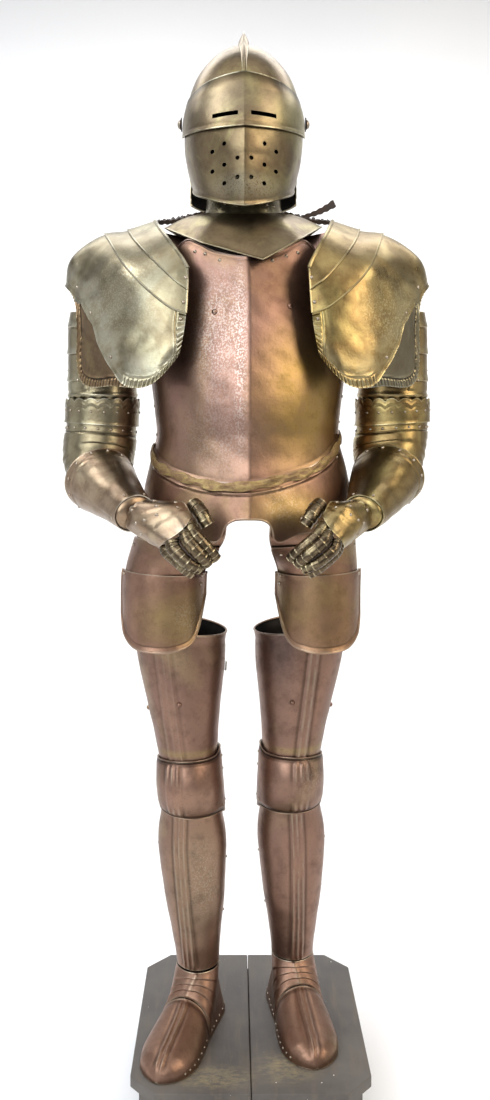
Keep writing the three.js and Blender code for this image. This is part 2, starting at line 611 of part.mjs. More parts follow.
// ---- hands: a metacarpal plate, a row of scaled fingers and a thumb ---------------------------------
// Rows run from the finger tips to the wrist, and columns from the little finger's edge to the forefinger's.
const HAND = [
  [[158, -222, 904], [150, -252, 918], [128, -258, 940], [118, -240, 956]],
  [[182, -206, 920], [182, -232, 944], [154, -240, 972], [132, -222, 979]],
  [[206, -184, 936], [198, -204, 968], [176, -202, 982], [158, -186, 976]],
];
const FINGERS = [
  [[108, -236, 854], [96, -256, 868], [78, -260, 882], [62, -244, 892]],
  [[128, -238, 867], [118, -268, 879], [94, -274, 901], [76, -254, 913]],
  [[152, -230, 890], [144, -262, 902], [120, -272, 926], [104, -254, 940]],
];
const THUMB = [
  [[98, -236, 936], [88, -240, 944], [80, -226, 950]],
  [[112, -234, 952], [101, -238, 964], [92, -222, 970]],
  [[128, -212, 972], [119, -220, 982], [110, -206, 984]],
];
const netGrid = (net, columns, rows) => grid(columns, rows, (u, v) => onNet(net, u, v));

// The left hand reaches further towards the middle.
const REACH = { left: 24, right: 0 };
const reached = (name, points) => {
  const share = (p) => smoothstep(-p.x, -200, -130);
  return points.map((line) => line.map((p) => p.clone().setX(p.x - REACH[name] * share(p))));
};

for (const { name, sign } of SIDES) {
  const placed = (net, columns, rows) => sided(sign, reached(name, netGrid(net, columns, rows)));
  add(`gauntlet_hand_${name}`, wall(placed(HAND, 6, 3)), BRONZED);
  add(`gauntlet_fingers_${name}`, wall(placed(FINGERS, 6, 3)), BRIGHT);
  add(`gauntlet_thumb_${name}`, wall(placed(THUMB, 4, 2)), BRIGHT);
}

// ---- breast shoulders: a short plate carries the breast over each shoulder, under the gorget ------------
// Rows run from the breast to the back, and columns outwards.
const BREAST_SHOULDER = [
  [[64, -92, 1404], [98, -78, 1410], [126, -60, 1414]],
  [[70, -30, 1436], [104, -20, 1448], [140, -6, 1458]],
];
for (const { name, sign } of SIDES) {
  const points = grid(2, 2, (u, v) => onNet(BREAST_SHOULDER, u, v));
  add(`breast_shoulder_${name}`, wall(sided(sign, points)), RUSSET);
}

// ---- pauldrons: a shell over each shoulder, with two lames at the neck ---------------------------------
// Rows run outwards from the neck, and columns from the front corner over the shoulder to the back. The third
// to fifth columns turn from the front face to the side that wraps the arm.
const SHOULDER = [
  [
    [101, -162, 1373], [113, -152, 1398], [128, -130, 1424], [142, -94, 1448], [151, -56, 1466],
    [158, -8, 1480], [154, 62, 1470], [134, 122, 1424], [112, 156, 1373],
  ],
  [
    [104, -168, 1333], [126, -166, 1350], [156, -148, 1381], [180, -116, 1410], [200, -70, 1438],
    [214, -4, 1464], [206, 74, 1448], [160, 134, 1396], [116, 164, 1333],
  ],
  [
    [107, -172, 1285], [139, -172, 1294], [187, -156, 1332], [222, -124, 1372], [250, -70, 1424],
    [268, 2, 1456], [246, 92, 1430], [176, 150, 1362], [120, 168, 1291],
  ],
  [
    [111, -172, 1256], [150, -170, 1236], [212, -146, 1256], [268, -98, 1292], [300, -50, 1376],
    [318, 4, 1420], [276, 102, 1378], [182, 154, 1312], [123, 168, 1268],
  ],
  [
    [118, -168, 1224], [168, -162, 1172], [230, -132, 1172], [302, -62, 1187], [312, -46, 1318],
    [337, 8, 1366], [288, 100, 1326], [188, 152, 1268], [127, 166, 1240],
  ],
];
const LAME_EDGES = [0.07, 0.25, 0.45, 1];

for (const { name, sign } of SIDES) {
  const shell = (from, to, rows) => grid(11, rows, (u, v) => onNet(SHOULDER, 1 - u, lerp(from, to, v)));
  const outwards = (points) => sided(sign, points);
  const [a, b, c, d] = LAME_EDGES;
  add(`pauldron_lame_inner_${name}`, wall(outwards(shell(a, b, 2)), { lift: 2 * LAYER }), BRONZED);
  add(`pauldron_lame_middle_${name}`, wall(outwards(shell(b, c, 2)), { lift: LAYER }), BRONZED);
  add(`pauldron_main_${name}`, wall(outwards(shell(c, d, 5))), BRONZED);
}

// ---- leather straps that tie the pauldrons to the collar --------------------------------------------
const STRAP = {
  width: 16,
  thick: 2.4,
  line: [[80, 62, 1507], [110, 56, 1502], [142, 44, 1492], [172, 30, 1484]],
};
for (const { name, sign } of SIDES) {
  const across = (v) => STRAP.line.map(([x, y, z]) => V(x, y + STRAP.width * (v - 0.5), z + 8 * v));
  const strap = [0, 1].map(across);
  add(`strap_${name}`, wall(sided(sign, strap), { thick: STRAP.thick }), LEATHER);
}

// ---- armature: two posts in the legs, a hip board, a spine, a shoulder bar and a neck post ----------
const POST = { size: 24, hips: 1000 };
const legPost = (name, sign) => {
  const at = (x, y, z) => {
    const r = POST.size / 2;
    const cy = y + STRIDE[name] * Math.max(0, 1 - z / 1100);
    return [[-r, -r], [r, -r], [r, r], [-r, r]].map(([dx, dy]) => V(sign * x + dx, cy + dy, z));
  };
  return bar([at(90, 24, 0.4), at(92, 8, 230), at(94, -4, 460), at(112, 10, POST.hips)]);
};
const armature = join([
  ...SIDES.map(({ name, sign }) => legPost(name, sign)),
  box(260, 40, 36, 0, 12, POST.hips + 6),
  box(34, 24, 400, 0, 30, POST.hips + 190),
  box(380, 24, 30, 0, 22, 1392),
  box(30, 30, 250, 0, 16, 1510),
]);
add("armature", armature, FRAME_WOOD);

export default root;
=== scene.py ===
# A full suit of plate armour on its wooden plinth. Sizes are in millimetres above the deck, the plinth's top,
# and become metres where each mesh is made. The suit faces -Y; left and right are the viewer's.
import math

import bpy
import bmesh
import numpy as np
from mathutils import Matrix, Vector


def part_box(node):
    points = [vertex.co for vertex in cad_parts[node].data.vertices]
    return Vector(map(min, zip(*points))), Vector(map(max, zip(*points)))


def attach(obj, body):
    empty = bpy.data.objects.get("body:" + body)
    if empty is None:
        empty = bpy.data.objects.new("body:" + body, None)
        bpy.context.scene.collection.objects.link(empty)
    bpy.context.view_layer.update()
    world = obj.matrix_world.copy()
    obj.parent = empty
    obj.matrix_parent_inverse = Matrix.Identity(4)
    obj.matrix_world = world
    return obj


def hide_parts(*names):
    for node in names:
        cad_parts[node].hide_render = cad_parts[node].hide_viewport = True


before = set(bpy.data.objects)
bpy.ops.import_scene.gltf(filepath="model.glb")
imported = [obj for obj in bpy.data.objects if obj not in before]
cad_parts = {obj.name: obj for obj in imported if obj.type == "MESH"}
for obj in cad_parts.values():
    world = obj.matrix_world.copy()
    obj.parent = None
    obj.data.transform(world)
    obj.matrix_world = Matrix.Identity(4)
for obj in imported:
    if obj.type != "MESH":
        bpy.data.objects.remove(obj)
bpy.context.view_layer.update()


# ==== plinth ======================================================================================
# A low box of painted softwood under a deck of two boards whose corners are sawn off. The boards are screwed
# on with their edges eased by hand, then the whole was brushed with thin black-brown paint that has since
# been scuffed down to yellowish wood and dotted with white paint.
MM = 0.001
DECK = 1000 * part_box("deck_board_left")[1].z
BOARD = DECK - 1000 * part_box("deck_board_left")[0].z


def node(tree, kind, inputs=None, **settings):
    """A shader node with its settings; an input is a number, a colour or another node's output."""
    made = tree.nodes.new(kind)
    for key, value in settings.items():
        setattr(made, key, value)
    for key, value in (inputs or {}).items():
        if isinstance(value, bpy.types.NodeSocket):
            tree.links.new(value, made.inputs[key])
        else:
            made.inputs[key].default_value = value
    return made


def rgb(red, green, blue):
    """A colour as the eye names it, 0 to 255, in the shader's linear numbers."""
    return tuple((c / 255 / 12.92 if c <= 10 else ((c / 255 + 0.055) / 1.055) ** 2.4)
                 for c in (red, green, blue)) + (1,)


def grain(tree, size, detail=4.0, rough=0.55, stretch=(1, 1, 1), warp=0.0):
    """Cloudy noise whose spots are about size metres across."""
    place = node(tree, "ShaderNodeTexCoord").outputs["Object"]
    scaled = node(tree, "ShaderNodeMapping", {"Vector": place, "Scale": stretch}).outputs[0]
    return node(tree, "ShaderNodeTexNoise", {
        "Vector": scaled, "Scale": 1 / size, "Detail": detail, "Roughness": rough, "Distortion": warp,
    }).outputs["Fac"]


def ramp(tree, value, low, high, start=0.0, end=1.0):
    """Value from low..high taken to start..end and held there."""
    return node(tree, "ShaderNodeMapRange", {
        "Value": value, "From Min": low, "From Max": high, "To Min": start, "To Max": end,
    }).outputs[0]


def times(tree, a, b):
    return node(tree, "ShaderNodeMath", {0: a, 1: b}, operation="MULTIPLY").outputs[0]


def either(tree, a, b):
    return node(tree, "ShaderNodeMath", {0: a, 1: b}, operation="MAXIMUM").outputs[0]


def blended(tree, share, a, b):
    """Colour a with colour b laid over it by share."""
    made = node(tree, "ShaderNodeMix", data_type="RGBA", blend_type="MIX")
    for socket, value in ((made.inputs[0], share), (made.inputs[6], a), (made.inputs[7], b)):
        if isinstance(value, bpy.types.NodeSocket):
            tree.links.new(value, socket)
        else:
            socket.default_value = value
    return made.outputs[2]


def bumped(tree, height, deep, strength=1.0, under=None):
    inputs = {"Height": height, "Distance": deep, "Strength": strength}
    if under:
        inputs["Normal"] = under
    return node(tree, "ShaderNodeBump", inputs).outputs[0]


def new_material(name):
    made = bpy.data.materials.new(name)
    made.use_nodes = True
    return made, made.node_tree, made.node_tree.nodes["Principled BSDF"]


def spot(tree, centre, reach):
    """1 at centre, a place in metres, fading to 0 at reach, a size for each direction."""
    place = node(tree, "ShaderNodeTexCoord").outputs["Object"]
    away = node(tree, "ShaderNodeVectorMath", {0: place, 1: centre}, operation="SUBTRACT").outputs[0]
    scaled = node(tree, "ShaderNodeVectorMath", {0: away, 1: reach}, operation="DIVIDE").outputs[0]
    length = node(tree, "ShaderNodeVectorMath", {0: scaled}, operation="LENGTH").outputs["Value"]
    return ramp(tree, length, 1.0, 0.35)


def plinth_paint():
    made, tree, shader = new_material("black_brown_plinth_paint")
    streaks = grain(tree, 0.05, 5, stretch=(3, 0.5, 3))
    clouds = grain(tree, 0.11, 4)
    coat = blended(tree, ramp(tree, clouds, 0.35, 0.65), rgb(66, 61, 58), rgb(92, 87, 82))
    coat = blended(tree, ramp(tree, streaks, 0.5, 0.72, 0, 0.5), coat, rgb(104, 92, 78))
    scuffs = either(tree, spot(tree, (-0.055, -0.165, DECK * MM), (0.095, 0.036, 0.03)),
                    spot(tree, (0.07, -0.14, DECK * MM), (0.07, 0.05, 0.03)))
    rubbed = times(tree, scuffs, ramp(tree, grain(tree, 0.012, 7, 0.8, stretch=(0.6, 1.6, 1)), 0.42, 0.72, 0, 0.6))
    coat = blended(tree, rubbed, coat, rgb(168, 152, 108))
    dots = ramp(tree, grain(tree, 0.0065, 1), 0.792, 0.80)
    coat = blended(tree, dots, coat, rgb(225, 222, 215))
    tree.links.new(coat, shader.inputs["Base Color"])
    tree.links.new(ramp(tree, clouds, 0.3, 0.7, 0.42, 0.62), shader.inputs["Roughness"])
    wood = bumped(tree, grain(tree, 0.03, 6, stretch=(6, 0.4, 6)), 0.0006, 0.6)
    tree.links.new(bumped(tree, grain(tree, 0.004, 3), 0.0002, 0.5, wood), shader.inputs["Normal"])
    return made


def finish_piece(obj, nodes, body="root"):
    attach(obj, body)
    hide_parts(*nodes)
    return obj


def sawn_board(name, outline, low, high, ease, material):
    """A flat piece of wood with the given outline, its edges eased by a small bevel."""
    shape = bmesh.new()
    ring = [shape.verts.new((x * MM, y * MM, low * MM)) for x, y in outline]
    face = shape.faces.new(ring)
    raised = bmesh.ops.extrude_face_region(shape, geom=[face])["geom"]
    top = [v for v in raised if isinstance(v, bmesh.types.BMVert)]
    bmesh.ops.translate(shape, verts=top, vec=(0, 0, (high - low) * MM))
    bmesh.ops.bevel(shape, geom=shape.edges[:], offset=ease * MM, segments=3, affect="EDGES", profile=0.5)
    bmesh.ops.recalc_face_normals(shape, faces=shape.faces[:])
    mesh = bpy.data.meshes.new(name)
    shape.to_mesh(mesh)
    shape.free()
    mesh.materials.append(material)
    mesh.shade_smooth()
    mesh.set_sharp_from_angle(angle=math.radians(40))
    obj = bpy.data.objects.new(name, mesh)
    bpy.context.scene.collection.objects.link(obj)
    return finish_piece(obj, [name])


PLINTH_PAINT = plinth_paint()
CORNER = 45  # sawn off each corner of the deck
OVERHANG = 14
EASE = 1.8
deck_low, deck_high = (1000 * c for c in (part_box("deck_board_left")[0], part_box("deck_board_right")[1]))
middle = (deck_low.x + deck_high.x) / 2
half_wide = (deck_high.x - deck_low.x) / 2
half_deep = (deck_high.y - deck_low.y) / 2
for side, sign in (("left", -1), ("right", 1)):
    corners = [(0.7, -half_deep), (half_wide - CORNER, -half_deep), (half_wide, CORNER - half_deep),
               (half_wide, half_deep - CORNER), (half_wide - CORNER, half_deep), (0.7, half_deep)]
    outline = [(middle + sign * x, y) for x, y in corners]
    sawn_board(f"deck_board_{side}", outline, DECK - BOARD, DECK, EASE, PLINTH_PAINT)
reach_x, reach_y, cut_off = half_wide - OVERHANG, half_deep - OVERHANG, CORNER - OVERHANG / 2
quarter = [(reach_x, reach_y - cut_off), (reach_x - cut_off, reach_y)]
back_half = quarter + [(-x, y) for x, y in reversed(quarter)]
outline = [(middle + x, y) for x, y in back_half] + [(middle - x, -y) for x, y in back_half]
sawn_board("plinth_box", outline, 0, DECK - BOARD - 0.3, EASE, PLINTH_PAINT)


# ==== armature ====================================================================================
# The plain softwood frame that carries the plates: a post in each leg, a hip board, a spine, a shoulder bar
# and a neck post, stained dark and glued. Nothing of it shows from in front.
def frame_wood():
    made, tree, shader = new_material("stained_frame_wood")
    rings = grain(tree, 0.02, 6, stretch=(5, 5, 0.3))
    tree.links.new(blended(tree, ramp(tree, rings, 0.35, 0.65), rgb(52, 37, 26), rgb(92, 66, 45)),
                   shader.inputs["Base Color"])
    tree.links.new(ramp(tree, rings, 0.3, 0.7, 0.55, 0.8), shader.inputs["Roughness"])
    tree.links.new(bumped(tree, rings, 0.0008, 0.5), shader.inputs["Normal"])
    return made


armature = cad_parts["armature"]
armature.data.materials.clear()
armature.data.materials.append(frame_wood())


# ==== sabatons ====================================================================================
# The shoes, of thin lacquered steel: a round-toed cap with two ridges pressed down its middle, and a heel
# piece whose instep is four narrow lames. Small steel rivets hold them to the leather sole along the edge.
SHEET = 1.6  # every plate's thickness


def between(table, key):
    """The smooth row between a table's rows; the first column is the key and rises."""
    rows = np.asarray(table, float)
    key = np.asarray(key, float)
    last = len(rows) - 1
    i = np.clip(np.searchsorted(rows[:, 0], key, side="right") - 1, 0, last - 1)
    t = np.clip((key - rows[i, 0]) / (rows[i + 1, 0] - rows[i, 0]), 0, 1)[..., None]
    a, b, c, d = (rows[np.clip(i + k, 0, last)] for k in (-1, 0, 1, 2))
    return b + 0.5 * t * (c - a + t * (2 * a - 5 * b + 4 * c - d + t * (3 * (b - c) + d - a)))


def smooth(x, low, high):
    t = np.clip((np.asarray(x, float) - low) / (high - low), 0, 1)
    return t * t * (3 - 2 * t)


def hump(x, centre, wide):
    """1 at centre, fading on both sides."""
    return np.exp(-(((np.asarray(x, float) - centre) / wide) ** 2))


def sin(angle):
    return np.sin(np.radians(angle))


def cos(angle):
    return np.cos(np.radians(angle))


def point(x, y, z):
    return np.stack(np.broadcast_arrays(np.asarray(x, float), y, z), axis=-1)


def on_tube(table, height, angle, rise=0.0, spread=1.0):
    """Rows of [height, middle x, middle y, half width, depth in front, depth behind]; angle 0 is the front."""
    row = between(table, height)
    deep = np.where(cos(angle) > 0, row[..., 4], row[..., 5])
    keel = rise * np.maximum(0, 1 - np.abs(angle) / spread) ** 2
    return point(row[..., 1] + row[..., 3] * sin(angle), row[..., 2] - deep * cos(angle) - keel, height)


FINENESS = 0.80  # of the counts asked for, which keeps the whole suit under a million triangles


def lines(*stretches, least=0.0008):
    """Places from 0 to 1 for a plate's mesh: each stretch is (from, to, how many)."""
    every = np.unique(np.concatenate([np.linspace(a, b, math.ceil(FINENESS * many))
                                      for a, b, many in stretches]))
    kept = [every[0]]
    for place in every[1:]:
        if place - kept[-1] > least:
            kept.append(place)
    kept[-1] = every[-1]
    return np.array(kept)


def edged(count, near=0.02):
    """Even places from 0 to 1 with closer ones beside both ends."""
    even = np.linspace(0, 1, math.ceil(FINENESS * count))
    return np.unique(np.concatenate([even, [near / 4, near, 1 - near, 1 - near / 4]]))


def turned_faces(n, k):
    """The faces over n rings of k points each, closed flat at both ends."""
    quads = [[i * k + j, i * k + (j + 1) % k, (i + 1) * k + (j + 1) % k, (i + 1) * k + j]
             for i in range(n - 1) for j in range(k)]
    top = (n - 1) * k
    quads += [[top, top + j, top + j + 1, top + j + 2] for j in range(1, k - 2, 2)]
    return quads + [[0, j + 2, j + 1, j] for j in range(1, k - 2, 2)]


# The suit leans a little to one side on its way up: [height, sideways].
LEAN = [[0, 0], [90, 0], [460, -10], [730, -10], [840, -9], [940, 2], [1000, 3], [1350, 3], [1450, -3], [1480, -4],
        [1900, -4]]


class Plate:
    """Gathers the walls, rolled rims and rivets of one piece. Pieces are drawn on the right and mirrored."""

    def __init__(self, sign=1, move=None):
        self.sign, self.move = sign, move
        self.points, self.quads, self.rim, self.relief, self.kind = [], [], [], [], []
        self.count = 0

    def put(self, points, quads, rim=9.0, relief=0.0, kind=0):
        points = points.reshape(-1, 3).copy()
        quads = np.asarray(quads).reshape(-1, 4)
        if self.move:
            points = self.move(points)
        if self.sign < 0:
            points[:, 0] *= -1
            quads = quads[:, ::-1]
        points[:, 0] += between(LEAN, points[:, 2])[:, 1]
        points[:, 2] += DECK
        self.points.append(points * MM)
        self.quads.append(quads + self.count)
        self.rim.append(np.broadcast_to(np.asarray(rim, float).reshape(-1), (len(points),)))
        self.relief.append(np.broadcast_to(np.asarray(relief, float).reshape(-1), (len(points),)))
        self.kind.append(np.full(len(quads), kind) if np.isscalar(kind) else kind)
        self.count += len(points)

    def wall(self, surface, columns, rows, lift=0.0, thick=SHEET, relief=None, ring=False, dents=0.35, kind=0):
        """A sheet on the surface, from lift to lift + thick outside it, pushed out by relief."""
        u, v = np.meshgrid(columns[:-1] if ring else columns, rows)
        grid = surface(u, v)
        out = outwards(grid, ring)
        edges = edge_distances(grid)
        pushed = np.zeros(u.shape) if relief is None else relief(u, v, edges) + np.zeros(u.shape)
        beaten = dents * hammering(grid)
        outer = grid + out * (lift + thick + pushed + beaten)[..., None]
        inner = grid + out * (lift + pushed + beaten)[..., None]
        near = np.minimum(edges["bottom"], edges["top"])
        if not ring:
            near = np.minimum(near, np.minimum(edges["start"], edges["end"]))
        tall, wide = u.shape
        where = np.arange(tall * wide).reshape(tall, wide)
        if ring:
            where = np.hstack([where, where[:, :1]])
        a, b, c, d = where[:-1, :-1], where[:-1, 1:], where[1:, 1:], where[1:, :-1]
        face = np.stack([a, b, c, d], -1).reshape(-1, 4)
        inside = tall * wide
        foot, head = where[0], where[-1]
        rim = [np.stack([foot[:-1], foot[:-1] + inside, foot[1:] + inside, foot[1:]], -1),
               np.stack([head[:-1], head[1:], head[1:] + inside, head[:-1] + inside], -1)]
        if not ring:
            start, end = where[:, 0], where[:, -1]
            rim += [np.stack([start[:-1], start[1:], start[1:] + inside, start[:-1] + inside], -1),
                    np.stack([end[:-1], end[:-1] + inside, end[1:] + inside, end[1:]], -1)]
        rim = np.concatenate(rim)
        quads = np.concatenate([face, face[:, ::-1] + inside, rim])
        # The inner faces take the third material, which on the plates is a dark steel that paints shade.
        kinds = np.concatenate([np.full(len(face), kind), np.full(len(face), 2), np.full(len(rim), kind)])
        self.put(np.concatenate([outer.reshape(-1, 3), inner.reshape(-1, 3)]), quads,
                 np.concatenate([near.ravel()] * 2), np.concatenate([pushed.ravel()] * 2), kinds)
        return self

    def roll(self, surface, u, v, radius=2.0, lift=0.8, closed=False, kind=0):
        """A rolled or wired edge: a round bead along the surface's line through the places u, v."""
        u, v = np.broadcast_arrays(np.asarray(u, float), np.asarray(v, float))
        path, out = surface(u, v), normal_at(surface, u, v)
        path = path + out * lift
        ahead = np.roll(path, -1, 0) - np.roll(path, 1, 0)
        if not closed:
            ahead[0], ahead[-1] = path[1] - path[0], path[-1] - path[-2]
        ahead /= np.linalg.norm(ahead, axis=1)[:, None]
        side = np.cross(out, ahead)
        side /= np.linalg.norm(side, axis=1)[:, None]
        turns = np.linspace(0, 2 * np.pi, 9)[:-1]
        ring = (path[:, None] + radius * (np.cos(turns)[None, :, None] * out[:, None]
                                          + np.sin(turns)[None, :, None] * side[:, None]))
        n, k = len(path), len(turns)
        where = np.arange(n * k).reshape(n, k)
        where = np.hstack([where, where[:, :1]])
        if closed:
            where = np.vstack([where, where[:1]])
        a, b, c, d = where[:-1, :-1], where[:-1, 1:], where[1:, 1:], where[1:, :-1]
        quads = np.stack([a, b, c, d], -1).reshape(-1, 4)
        if not closed:
            first, last = where[0], where[-1]
            caps = [[f[0], f[i + 2], f[i + 1], f[i]] if e else [f[0], f[i], f[i + 1], f[i + 2]]
                    for e, f in ((0, first), (1, last)) for i in (1, 3, 5)]
            quads = np.concatenate([quads, np.array(caps)])
        # The bead's rim and relief numbers also feed the steel's edge wear and its painted highlight on raised
        # places.
        self.put(ring, quads, 1.5, 1.6, kind)
        return self

    def rivets(self, surface, places, lift=SHEET, radius=3.0, height=1.9, kind=1):
        """Domed rivet heads at the surface's places (u, v)."""
        profile = [(1.0, -0.5), (1.0, 0.12), (0.86, 0.55), (0.55, 0.88), (0.18, 1.0)]
        turns = np.linspace(0, 2 * np.pi, 11)[:-1]
        for u, v in places:
            centre = surface(np.float64(u), np.float64(v))
            out = normal_at(surface, np.float64(u), np.float64(v))
            side = np.cross(out, [0.0, 0.3, 1.0])
            side /= np.linalg.norm(side)
            other = np.cross(out, side)
            ring = np.array([centre + out * (lift + height * h)
                             + radius * r * (np.cos(t) * side + np.sin(t) * other)
                             for r, h in profile for t in turns])
            self.put(ring, turned_faces(len(profile), len(turns)), 5.0, 0.0, kind)
        return self

    def make(self, name, materials, slot, body="root"):
        points = np.concatenate(self.points)
        quads = np.concatenate(self.quads)
        mesh = bpy.data.meshes.new(name)
        mesh.from_pydata(points.tolist(), [], quads.tolist())
        for key, values in (("rim", self.rim), ("relief", self.relief)):
            attribute = mesh.attributes.new(key, "FLOAT", "POINT")
            attribute.data.foreach_set("value", np.concatenate(values).astype(np.float32))
        for material in materials:
            mesh.materials.append(material)
        mesh.polygons.foreach_set("material_index", np.concatenate(self.kind).astype(np.int32))
        mesh.validate()
        mesh.shade_smooth()
        mesh.set_sharp_from_angle(angle=math.radians(42))
        obj = bpy.data.objects.new(name, mesh)
        bpy.context.scene.collection.objects.link(obj)
        return finish_piece(obj, [name], body)


def outwards(grid, ring):
    if ring:
        across = np.roll(grid, -1, 1) - np.roll(grid, 1, 1)
    else:
        across = np.gradient(grid, axis=1)
    out = np.cross(across, np.gradient(grid, axis=0))
    return out / np.maximum(np.linalg.norm(out, axis=-1), 1e-9)[..., None]


def normal_at(surface, u, v, step=0.004):
    across = surface(np.minimum(u + step, 1), v) - surface(np.maximum(u - step, 0), v)
    up = surface(u, np.minimum(v + step, 1)) - surface(u, np.maximum(v - step, 0))
    out = np.cross(across, up)
    return out / np.maximum(np.linalg.norm(out, axis=-1), 1e-9)[..., None]


def edge_distances(grid):
    """How far each point is from the sheet's four edges, along the sheet."""
    up = np.linalg.norm(np.diff(grid, axis=0), axis=-1)
    across = np.linalg.norm(np.diff(grid, axis=1), axis=-1)
    from_bottom = np.vstack([np.zeros((1, grid.shape[1])), np.cumsum(up, 0)])
    from_start = np.hstack([np.zeros((grid.shape[0], 1)), np.cumsum(across, 1)])
    return {"bottom": from_bottom, "top": from_bottom[-1:] - from_bottom,
            "start": from_start, "end": from_start[:, -1:] - from_start}


WAVES = np.random.default_rng(7).normal(size=(14, 4))


def hammering(grid):
    """Broad shallow dents left by the planishing hammer, about -1 to 1."""
    total = np.zeros(grid.shape[:-1])
    for k, (a, b, c, d) in enumerate(WAVES):
        pitch = 24 + 6 * k
        total += np.sin((grid @ np.array([a, b, c])) * (2 * np.pi / pitch / 1.7) + 9 * d)
    return total / 4.5


def steel(name, tones, bright, dark, wear_and_highlights=(), tints_and_painted_light=(), rough=(0.30, 0.46), speck=0.0, cloud=0.16, metal=1.0,
          streak=None):
    """Lacquered plate: three tones in clouds, painted shade in the grooves, bright steel rubbed through at the edges
    and a painted highlight on raised ridges. Each tint and each place of wear and highlight is (centre, reach,
    strength), and a tint ends with its colour; among them are painted highlights and painted shade."""
    made, tree, shader = new_material(name)
    clouds = grain(tree, cloud, 5, 0.6, warp=0.8, stretch=streak or (1, 1, 1))
    mottle = grain(tree, 0.028, 6, 0.65)
    fine = grain(tree, 0.0034, 3, 0.7)
    coat = blended(tree, ramp(tree, clouds, 0.36, 0.52), rgb(*tones[0]), rgb(*tones[1]))
    coat = blended(tree, ramp(tree, clouds, 0.52, 0.68), coat, rgb(*tones[2]))
    # Patches of other colour: some are the steel's own colour, and some are painted highlight and painted shade.
    for centre, reach, strength, colour in tints_and_painted_light:
        patch = times(tree, spot(tree, centre, reach), ramp(tree, mottle, 0.25, 0.6, 0.55 * strength, strength))
        coat = blended(tree, patch, coat, rgb(*colour))
    coat = blended(tree, ramp(tree, mottle, 0.5, 0.72, 0, 0.45), coat, rgb(*dark))
    coat = blended(tree, ramp(tree, fine, 0.56, 0.7, 0, 0.35), coat, rgb(*dark))
    relief = node(tree, "ShaderNodeAttribute", attribute_name="relief").outputs["Fac"]
    rim = node(tree, "ShaderNodeAttribute", attribute_name="rim").outputs["Fac"]
    # Painted shade: the steel is drawn darker where the relief sinks, in grooves, seams and the lines below raised
    # lames.
    groove_shade = times(tree, ramp(tree, relief, -0.15, -1.2), 0.8)
    coat = blended(tree, groove_shade, coat, rgb(*[0.35 * c for c in dark]))
    # Bright steel rubbed through near the plates' edges, and a painted highlight on raised ridges, beads and rolled
    # edges where the relief stands out.
    chips = ramp(tree, mottle, 0.38, 0.56)
    rubbed = either(tree, times(tree, ramp(tree, rim, 2.4, 0.4), ramp(tree, chips, 0, 1, 0.12, 0.62)),
                    times(tree, ramp(tree, relief, 0.8, 2.4, 0, 0.34), chips))
    coat = blended(tree, rubbed, coat, rgb(*bright))
    specks = ramp(tree, fine, 0.50 - speck, 0.60 - speck)
    smoothness = ramp(tree, mottle, 0.3, 0.7, *rough)
    # Each of these places lays bright speckled steel over the coat: rubbed steel in some, a painted highlight in
    # others.
    for centre, reach, strength in wear_and_highlights:
        bare = times(tree, times(tree, spot(tree, centre, reach), specks), strength)
        coat = blended(tree, bare, coat, rgb(*bright))
        rubbed = either(tree, rubbed, bare)
    shader.inputs["Metallic"].default_value = metal
    tree.links.new(coat, shader.inputs["Base Color"])
    polish = node(tree, "ShaderNodeMath", {0: smoothness, 1: ramp(tree, rubbed, 0, 1, 0, 0.06)},
                  operation="SUBTRACT")
    tree.links.new(polish.outputs[0], shader.inputs["Roughness"])
    beaten = bumped(tree, grain(tree, 0.022, 2), 0.0010, 0.30)
    peel = bumped(tree, grain(tree, 0.0042, 3, 0.6), 0.00028, 0.65, beaten)
    tree.links.new(peel, shader.inputs["Normal"])
    return made


# Painted shade: the inner faces of the plates are drawn in this dark steel.
INSIDE = steel("inside_painted_shade", [(44, 38, 34), (34, 30, 28), (54, 44, 38)], (80, 74, 66), (20, 18, 17),
               rough=(0.5, 0.7), metal=0.6)
# The dark brown patch at the top of the right thigh is painted shade.
LEG_RUSSET = steel("russet_leg_steel", [(150, 119, 102), (130, 103, 90), (154, 132, 104)], (184, 174, 154),
                   (78, 58, 50), rough=(0.36, 0.48), cloud=0.2, streak=(1, 1, 0.45),
                   wear_and_highlights=[((-0.075, -0.06, 0.42), (0.04, 0.12, 0.11), 0.34),
                         ((0.12, -0.06, 0.60), (0.05, 0.1, 0.05), 0.25)],
                   tints_and_painted_light=[((-0.09, -0.08, 0.40), (0.09, 0.2, 0.20), 0.45, (142, 128, 104)),
                           ((-0.1, -0.08, 0.645), (0.10, 0.2, 0.009), 0.4, (160, 144, 92)),
                           ((0.1, -0.08, 0.645), (0.10, 0.2, 0.009), 0.4, (160, 144, 92)),
                           ((0.06, -0.08, 0.86), (0.05, 0.2, 0.12), 0.8, (84, 70, 68)),
                           ((0.0, -0.1, 0.17), (0.3, 0.3, 0.09), 0.45, (122, 92, 70))])
LEG_RIVET = steel("worn_rivet_steel", [(150, 136, 120), (170, 160, 146), (140, 118, 100)], (225, 222, 212),
                  (80, 62, 50), rough=(0.24, 0.36))
LEG_METALS = (LEG_RUSSET, LEG_RIVET, INSIDE)

